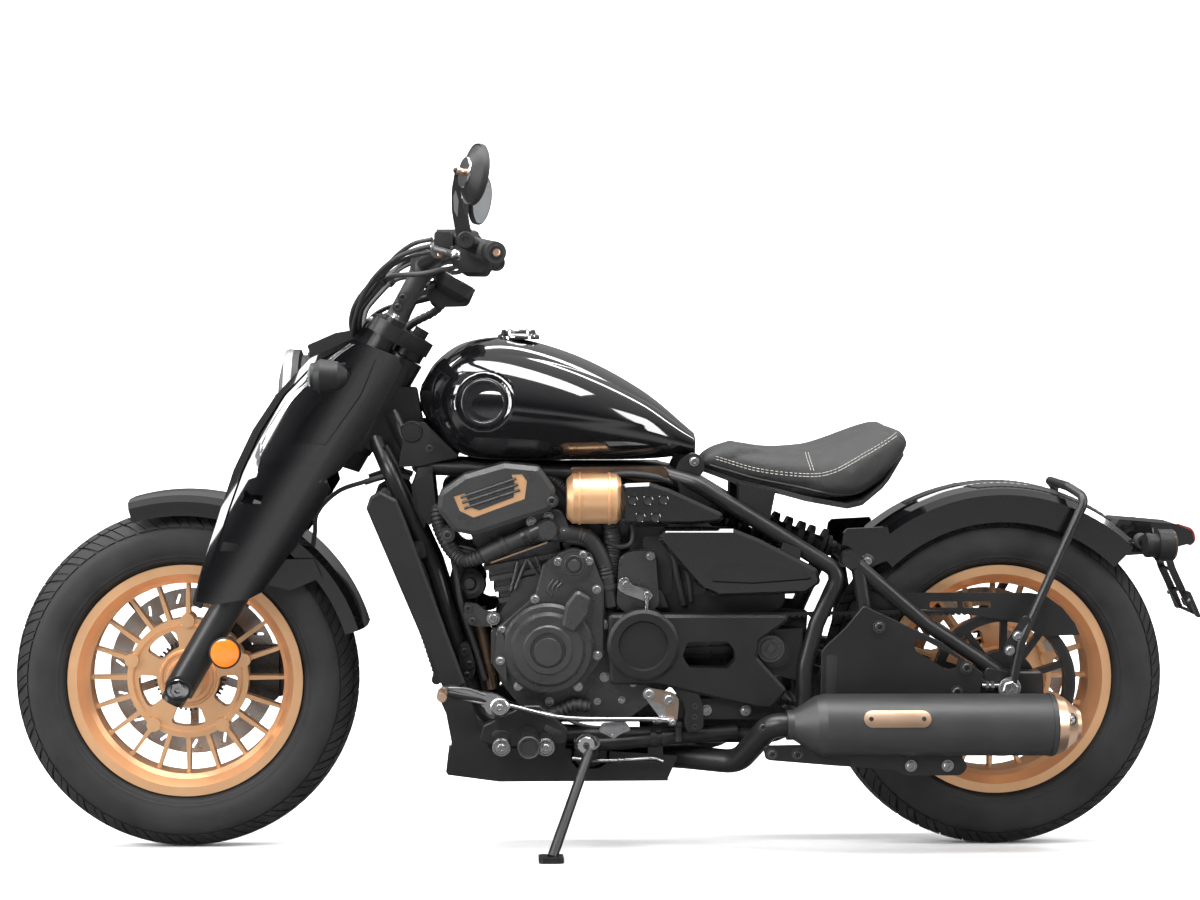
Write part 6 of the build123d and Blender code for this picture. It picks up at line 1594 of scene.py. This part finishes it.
# %% Fender spine strip
STRIP_FROM, STRIP_ROWS = 62, 91
STRIP_NARROW, STRIP_WIDER, STRIP_RAMP = 21, 39, 5
RAY_START = 600


def spine_point(angle, y, lift):
    """Where a ray towards the rear axle meets the fender, a little above its skin."""
    out = Vector((cos(angle), 0, sin(angle)))
    hit = surface("rear_fender").ray_cast(REAR + out * RAY_START + Vector((0, y, 0)), -out)[0]
    return hit + out * lift if hit else None


bm = bmesh.new()
strip_rows = []
for k in range(STRIP_ROWS):
    angle = radians(STRIP_FROM + k)
    lift = 1.8 if k % 2 else 1.1
    half = STRIP_NARROW + STRIP_WIDER * max(0, min(1, (k - 16) / STRIP_RAMP, (66 - k) / STRIP_RAMP))
    spread = [half * s for s in (-1, -0.97, -0.33, 0.33, 0.97, 1)]
    top = [spine_point(angle, y, lift) for y in spread]
    low = [spine_point(angle, y, -2.0) for y in spread]
    if all(top) and all(low):
        strip_rows.append([bm.verts.new(p) for p in top + low[::-1]])
join_rings(bm, strip_rows)
settle(from_bmesh("fender_spine_strip", bm), "chassis", "rough_black")
print("spine strip over", len(strip_rows), "rows")

# %% Seat lugs, hoop feet and the web by the seat tube
LUG = [(-145, 716), (-155, 738), (-177, 753), (-197, 743), (-200, 718), (-185, 703), (-155, 705)]
FOOT = [(-787, 460), (-804, 449), (-788, 414), (-769, 380), (-750, 380), (-748, 396), (-770, 433)]
RAIL = [(49, 725), (-130, 726), (-130, 698), (-70, 700), (-40, 708), (49, 709)]
WEB = [(-322, 462), (-396, 458), (-392, 392), (-330, 408)]
for name, outline, y, depth, wear in (("seat_lug", LUG, 84, 16, "frame_black"),
                                      ("hoop_foot", FOOT, 151, 6, "frame_black"),
                                      ("tank_rail", RAIL, 92, 14, "pipe_bronze"),
                                      ("seat_tube_web", WEB, 80, 5, "rough_black")):
    cut(name, wear, outline, 7, y, y - depth, 2)
bolts("seat_lug_screws", [(-180, 84, 736)], size=1.4)
bolts("hoop_foot_screws", [(-774, 151, 421), (-760, 151, 394)], size=1.4)
print("lugs, feet and rails made")

# %% [markdown]
# ## Headlamp and signals
#
# The headlamp's shell is a CAD solid. Its bright bezel, domed glass and the bar seen through
# it are lathe and plate work about the lamp's own axis. The glass is a grey, half bright
# mirror, because a thin clear dome over a bright bowl reads as both.

# %% Lamp bezel, glass and signal lenses
LAMP, SIGNAL = Vector((548, 0, 850)), Vector((490, 205, 893))
AHEAD = (1, 0, 0)
BEZEL = [(78, 14), (86.6, 14), (87.2, 24), (85, 29), (80, 31), (76, 28), (76, 22)]
LAMP_GLASS = [(0, 44), (20, 43.4), (40, 41), (60, 36), (74, 29), (76, 25), (0, 25)]
LIGHT_BAR = [(0, -5), (52, -5), (52, 5), (-52, 5), (-52, -5)]
FRONT_RING = [(19, 15), (23.6, 15), (24, 22), (22.6, 25), (19, 24)]
FRONT_LENS = [(0, 30), (10, 29.4), (18, 27), (21, 24), (21, 18), (0, 18)]
FRONT_COLLAR = [(9, 0), (17, 0), (19, 4), (19, 11), (16, 15), (9, 15)]
FACET_PITCH = 6
turned("lamp_bezel", "bezel_silver", BEZEL, LAMP, 96, AHEAD, "fork", MIDDLE)
turned("lamp_glass", "clear_lens", LAMP_GLASS, LAMP, 96, AHEAD, "fork", MIDDLE)
bar = plate("lamp_light_bar", rounded(LIGHT_BAR, 4), 3, -3, 1)
bar.data.transform(Matrix.Translation((591, 0, 850)) @ Matrix.Rotation(pi / 2, 4, "Z"))
settle(bar, "fork", "bezel_silver")
turned("front_signal_ring", "moulded_black", FRONT_RING, SIGNAL, 56, AHEAD, "fork")
turned("front_signal_lens", "clear_lens", FRONT_LENS, SIGNAL, 48, AHEAD, "fork")
facet = keep_aside(lathe("lens_rib", [(0, -1), (1.4, -1), (1.4, 1), (0, 1)], (0, 0, 0), (0, 0, 1), 8))
grid = [(28.6, FACET_PITCH * i, FACET_PITCH * j) for i in range(-2, 3) for j in range(-2, 3) if i * i + j * j < 8]
for hand, side in HANDS:
    rows = [(flip(SIGNAL, hand) + Vector(spot), AHEAD, OUT) for spot in grid]
    copies("front_signal_facets" + side, rows, facet, "fork", "bezel_silver")
turned("front_signal_collar", "rubber", FRONT_COLLAR, SIGNAL + Vector((-8, -31, -4)), body="fork")
print("headlamp and signals glazed")

# %% [markdown]
# ## The painted highlight on the fork covers
#
# A bright satin band follows each cover's leading edge from the lamp down to the fender. It is a
# painted highlight, standing in for the light that the leading edge catches. It is a thin skin
# laid on the cover, whose height is found with the same ray that places the screws.

# %% Painted highlight bands and bolts on the fork covers
BAND = ([(632, 704), (614, 768), (566, 845), (524, 888), (481, 928), (450, 951)],
        [(619, 708), (600, 771), (557, 843), (514, 885), (471, 927), (440, 949)])
BAND_ROWS, BAND_ACROSS, BAND_LIFT, BAND_SINK = 20, 3, 0.8, 1.0
FENDER_BRACKET = [(700, 560), (716, 566), (742, 470), (724, 460)]
DUST_BOOT = [(28.6, 322), (31, 324), (31, 338), (28, 344), (22, 346), (22, 322)]
FOOT_SCREW = [(0, -34), (9, -34), (11, -31), (11, -24), (0, -24)]


def skin(name, edges, on, hand):
    """A thin sheet between two edges of equally many points, laid a little above a solid, in the bright silver of the
    painted highlight.
    """
    lines = [smooth_path([(x, 0, z) for x, z in edge], BAND_ROWS // (len(edge) - 1)) for edge in edges]
    bm = bmesh.new()
    rings = []
    for a, b in zip(*lines):
        drawn = [a.lerp(b, k / BAND_ACROSS) for k in range(BAND_ACROSS + 1)]
        laid = [landing(p.x, p.z, on, hand=hand) for p in drawn]
        ring = [spot + OUT * hand * BAND_LIFT for spot in laid]
        ring += [spot - OUT * hand * BAND_SINK for spot in reversed(laid)]
        rings.append([bm.verts.new(p) for p in ring])
    join_rings(bm, rings, cap=False)
    for ring in (rings[0], rings[-1]):
        for k in range(BAND_ACROSS):
            bm.faces.new((ring[k], ring[k + 1], ring[-k - 2], ring[-k - 1]))
    return settle(from_bmesh(name, bm), "fork", "painted_highlight_silver")


for hand, side in HANDS:
    # Each cover's bright band is a painted highlight.
    skin("cover_band" + side, BAND, "fork_covers", hand)
    for k, (x, z) in enumerate(((504, 701), (494, 700))):
        place = landing(x, z, "fork_covers", hand=hand)
        screws(f"cover_studs{side}_{k}", [place], "fork", "engine_black", 0.45, (0, hand, 0))
    for name, wear, profile, steps in (("fork_dust_boot", "rubber", DUST_BOOT, 56),
                                       ("fork_foot_screw", "zinc_steel", FOOT_SCREW, 32)):
        settle(lathe(name + side, profile, on_fork(0, 0, FORK_Y * hand), FORK_UP, steps), "fork", wear)
cut("front_fender_bracket", "frame_black", FENDER_BRACKET, 5, 92, 84, 1.5, "fork")
print("bands and boots on")

# %% Neck cap, neck bracket, gusset and clamps
NECK_CAP = [(0, -3), (20, -3), (20, 3), (18.5, 4.6), (15.5, 4.6), (15, 3.4), (0, 3.6)]
NECK_BRACKET = [(352, 806), (318, 806), (262, 750), (254, 742), (330, 724), (366, 722)]
GUSSET = [(330, 722), (302, 724), (306, 640), (320, 606), (334, 612), (342, 690)]
GUSSET_HOLE = [(0, -1), (4.6, -1), (5.2, 0.4), (3.6, 0.8), (3.2, -0.4), (0, -0.4)]
TUBE_CLIP = [(350, 584), (318, 588), (312, 558), (344, 552)]
NECK_LOOMS = [[(428, 62, 693), (400, 66, 702), (372, 60, 706), (346, 52, 700)],
              [(390, 50, 760), (372, 54, 730), (362, 58, 700), (346, 62, 668), (330, 66, 640)],
              [(356, 46, 800), (338, 52, 770), (300, 56, 736), (262, 60, 720), (220, 62, 716)]]
BRAKE_LINE = [(392, 52, 706), (428, 58, 694), (477, 60, 676), (515, 60, 638), (520, 60, 600), (524, 58, 574)]
for hand, side in HANDS:
    spot = landing(341, 788, "neck_covers", "frame", hand=hand)
    face = abs(spot.y)
    settle(lathe("neck_cap" + side, NECK_CAP, spot, (0, hand, 0), 56), "chassis", "moulded_black")
    cut("neck_bracket" + side, "frame_black", NECK_BRACKET, 5, (face + 1.2) * hand, (face - 8) * hand, 1.5,
        hands=MIDDLE)
    screws("neck_screws" + side, [(308, (face + 1.2) * hand, 757)], "chassis", "engine_black", 1.25, (0, hand, 0))
cut("gusset", "frame_black", GUSSET, 4, 74, 66, 1.5)
turned("gusset_hole", "rough_black", GUSSET_HOLE, [(322, 74.2, 682), (322, 74.2, 652)], 24)
cut("down_tube_clip", "frame_black", TUBE_CLIP, 6, 98, 76, 2)
bolts("down_tube_clip_screw", [(337, 98, 571)], "engine_black", 1.6)
bent("neck_loom", "rubber", NECK_LOOMS, (6, 5, 6))
bent("front_brake_line", "rubber", BRAKE_LINE, 4.5, 12, 10, body="fork", hands=MIDDLE)
print("neck dressed")

# %% [markdown]
# ## Mirrors
#
# Each mirror is a shallow round bowl on a flat twisted stalk. The glass sits in a rubber lip;
# a small silver disc behind the stalk's ball carries the bowl. The glass is partly a real
# mirror and partly a light grey colour of its own, which is a painted reflection.

# %% Mirror glass, lip and stalk
MIRROR, MIRROR_FACING = Vector((222, 432, 1238)), Vector((-0.91, -0.36, -0.14)).normalized()
MIRROR_BOWL = [(0, -19), (26, -18), (28, -16), (39, -11), (47, -5), (50.6, -1), (48, 1), (0, 1)]
# The glass below wears a painted reflection as well as a real mirror.
MIRROR_TURNED = (("lip", "rubber", [(48, -3), (51, -5), (52, -1), (51.4, 4.5), (49, 6.4), (47.4, 5)], 72),
                 ("glass", "mirror_glass", [(0, 3), (48.4, 3), (48.4, 5), (0, 5.6)], 72),
                 ("disc", "seal_silver", [(0, -22), (25, -21), (26.4, -19.4), (26.4, -17), (24, -16), (0, -16)], 56),
                 ("ball", "champagne", [(0, -34), (5, -33), (6.6, -29), (5.6, -23), (4, -21), (0, -21)], 24))
MIRROR_NECK = [MIRROR - MIRROR_FACING * 30, MIRROR - MIRROR_FACING * 34 + Vector((0, -10, 1)), (252, 404, 1243),
               (251, 383, 1240)]
BLADE = [(256, 1250), (246, 1252), (242, 1240), (246, 1208), (240, 1176), (231, 1156), (226, 1132), (236, 1119),
         (250, 1121), (257, 1150), (262, 1180), (262, 1216)]
WINDOW = [(255, 1214), (250, 1196), (252, 1168), (258, 1180), (259, 1204)]
MIRROR_FOOT = [(238, 383, 1130), (226, 374, 1122), (214, 362, 1116)]
KNUCKLE = [(0, -12), (13, -12), (15, -10), (15, 8), (13, 10.5), (6, 10.5), (5, 9), (0, 9)]
WEIGHT_SCREW = [(0, 142), (6, 142), (6.4, 145), (4.4, 145.4), (4, 144), (0, 144)]
for word, wear, profile, steps in MIRROR_TURNED:
    turned("mirror_" + word, wear, profile, MIRROR, steps, MIRROR_FACING, "fork")
for hand, side in HANDS:
    bowl = lathe("mirror_bowl" + side, MIRROR_BOWL, flip(MIRROR, hand), flip(MIRROR_FACING, hand), 72)
    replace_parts(settle(bowl, "fork", "moulded_black"), "mirrors")
bent("mirror_neck", "frame_black", MIRROR_NECK, 5.4, 14, 6, body="fork")
cut("mirror_stalk", "frame_black", BLADE, 5, 388, 378, 2.5, "fork")
cut("mirror_window", "bezel_silver", WINDOW, 2, 388.8, 386, 0.6, "fork")
bent("mirror_foot", "moulded_black", MIRROR_FOOT, 14, 20, 6, lambda t: 1 - 0.15 * t, "fork")
turned("mirror_knuckle", "moulded_black", KNUCKLE, (238, 384, 1130), body="fork")
turned("bar_end_screw", "champagne", WEIGHT_SCREW, GRIP_START, 28, GRIP_RUN, "fork")
print("mirrors glazed")

# %% [markdown]
# ## The bundle of lines at the handlebar
#
# Beside the two thick cables, brake hose, throttle cables and switch looms run together from
# the controls, over the lamp, and down past the steering head, tied once on the way. They
# turn with the fork.

# %% Companion lines and their tie
BUNDLE = [[(299, 232, 1136), (333, 214, 1128), (367, 180, 1105), (393, 140, 1075), (421, 108, 1051), (443, 84, 1023),
           (453, 66, 994), (452, 54, 968)],
          [(287, 226, 1116), (337, 196, 1106), (371, 166, 1091), (395, 134, 1068), (417, 104, 1043), (436, 78, 1016),
           (446, 62, 990), (446, 48, 966)],
          [(246, 276, 1096), (262, 244, 1086), (284, 208, 1083), (318, 180, 1076), (367, 150, 1073), (391, 126, 1061),
           (412, 98, 1038), (432, 74, 1012), (438, 58, 986), (438, 44, 966)],
          [(300, 40, 1060), (341, 46, 1030), (390, 50, 1015), (419, 48, 996), (436, 40, 974)]]
TIE = [(11, -4), (13.5, -4), (13.5, 4), (11, 4)]
LEVER_CLAMP = [(300, 1104), (276, 1100), (262, 1112), (262, 1138), (286, 1142), (304, 1128)]
PERCH_SCREW = [(0, -2), (5, -2), (5, 3), (3.6, 4), (0, 4)]
PERCH_SCREWS = ((284, 1108, "champagne"), (296, 1122, "seal_silver"), (272, 1126, "seal_silver"))
RESERVOIR_BODY = [(294, 1120), (294, 1147), (262, 1146), (262, 1120)]
SWITCH_POD = [(266, 1122), (262, 1088), (246, 1078), (204, 1078), (194, 1096), (200, 1124)]
GAUGE_POD = [(320, 1046), (316, 1064), (266, 1074), (226, 1049), (240, 1018), (304, 1016)]
bent("bundle", "rubber", BUNDLE, (4.2, 3.6, 4.6, 3.4), 12, 10, body="fork")
turned("bundle_tie", "rough_black", TIE, (394, 131, 1067), 28, (0.62, -0.5, -0.6), "fork")
cut("lever_clamp", "zinc_dark", LEVER_CLAMP, 5, 262, 226, 3, "fork")
for hand, side in HANDS:
    for k, (x, z, wear) in enumerate(PERCH_SCREWS):
        settle(lathe(f"perch_screw{side}_{k}", PERCH_SCREW, (x, 262 * hand, z), (0, hand, 0), 20), "fork", wear)
cut("reservoir_body", "moulded_black", RESERVOIR_BODY, 4, 300, 252, 2.5, "fork")
cut("switch_pod", "moulded_black", SWITCH_POD, 6, 338, 292, 4, "fork")
cut("gauge_pod", "moulded_black", GAUGE_POD, 8, 34, -34, 8, "fork", MIDDLE)
for k, (hand, side) in enumerate(HANDS):
    for j, (x, z) in enumerate(((358, 1034), (367, 1016))):
        screws(f"riser_bolts_{k}_{j}", [(x, 77 * hand, z)], "fork", "engine_black", 1.4, (0, hand, 0))
print("bundle tied")
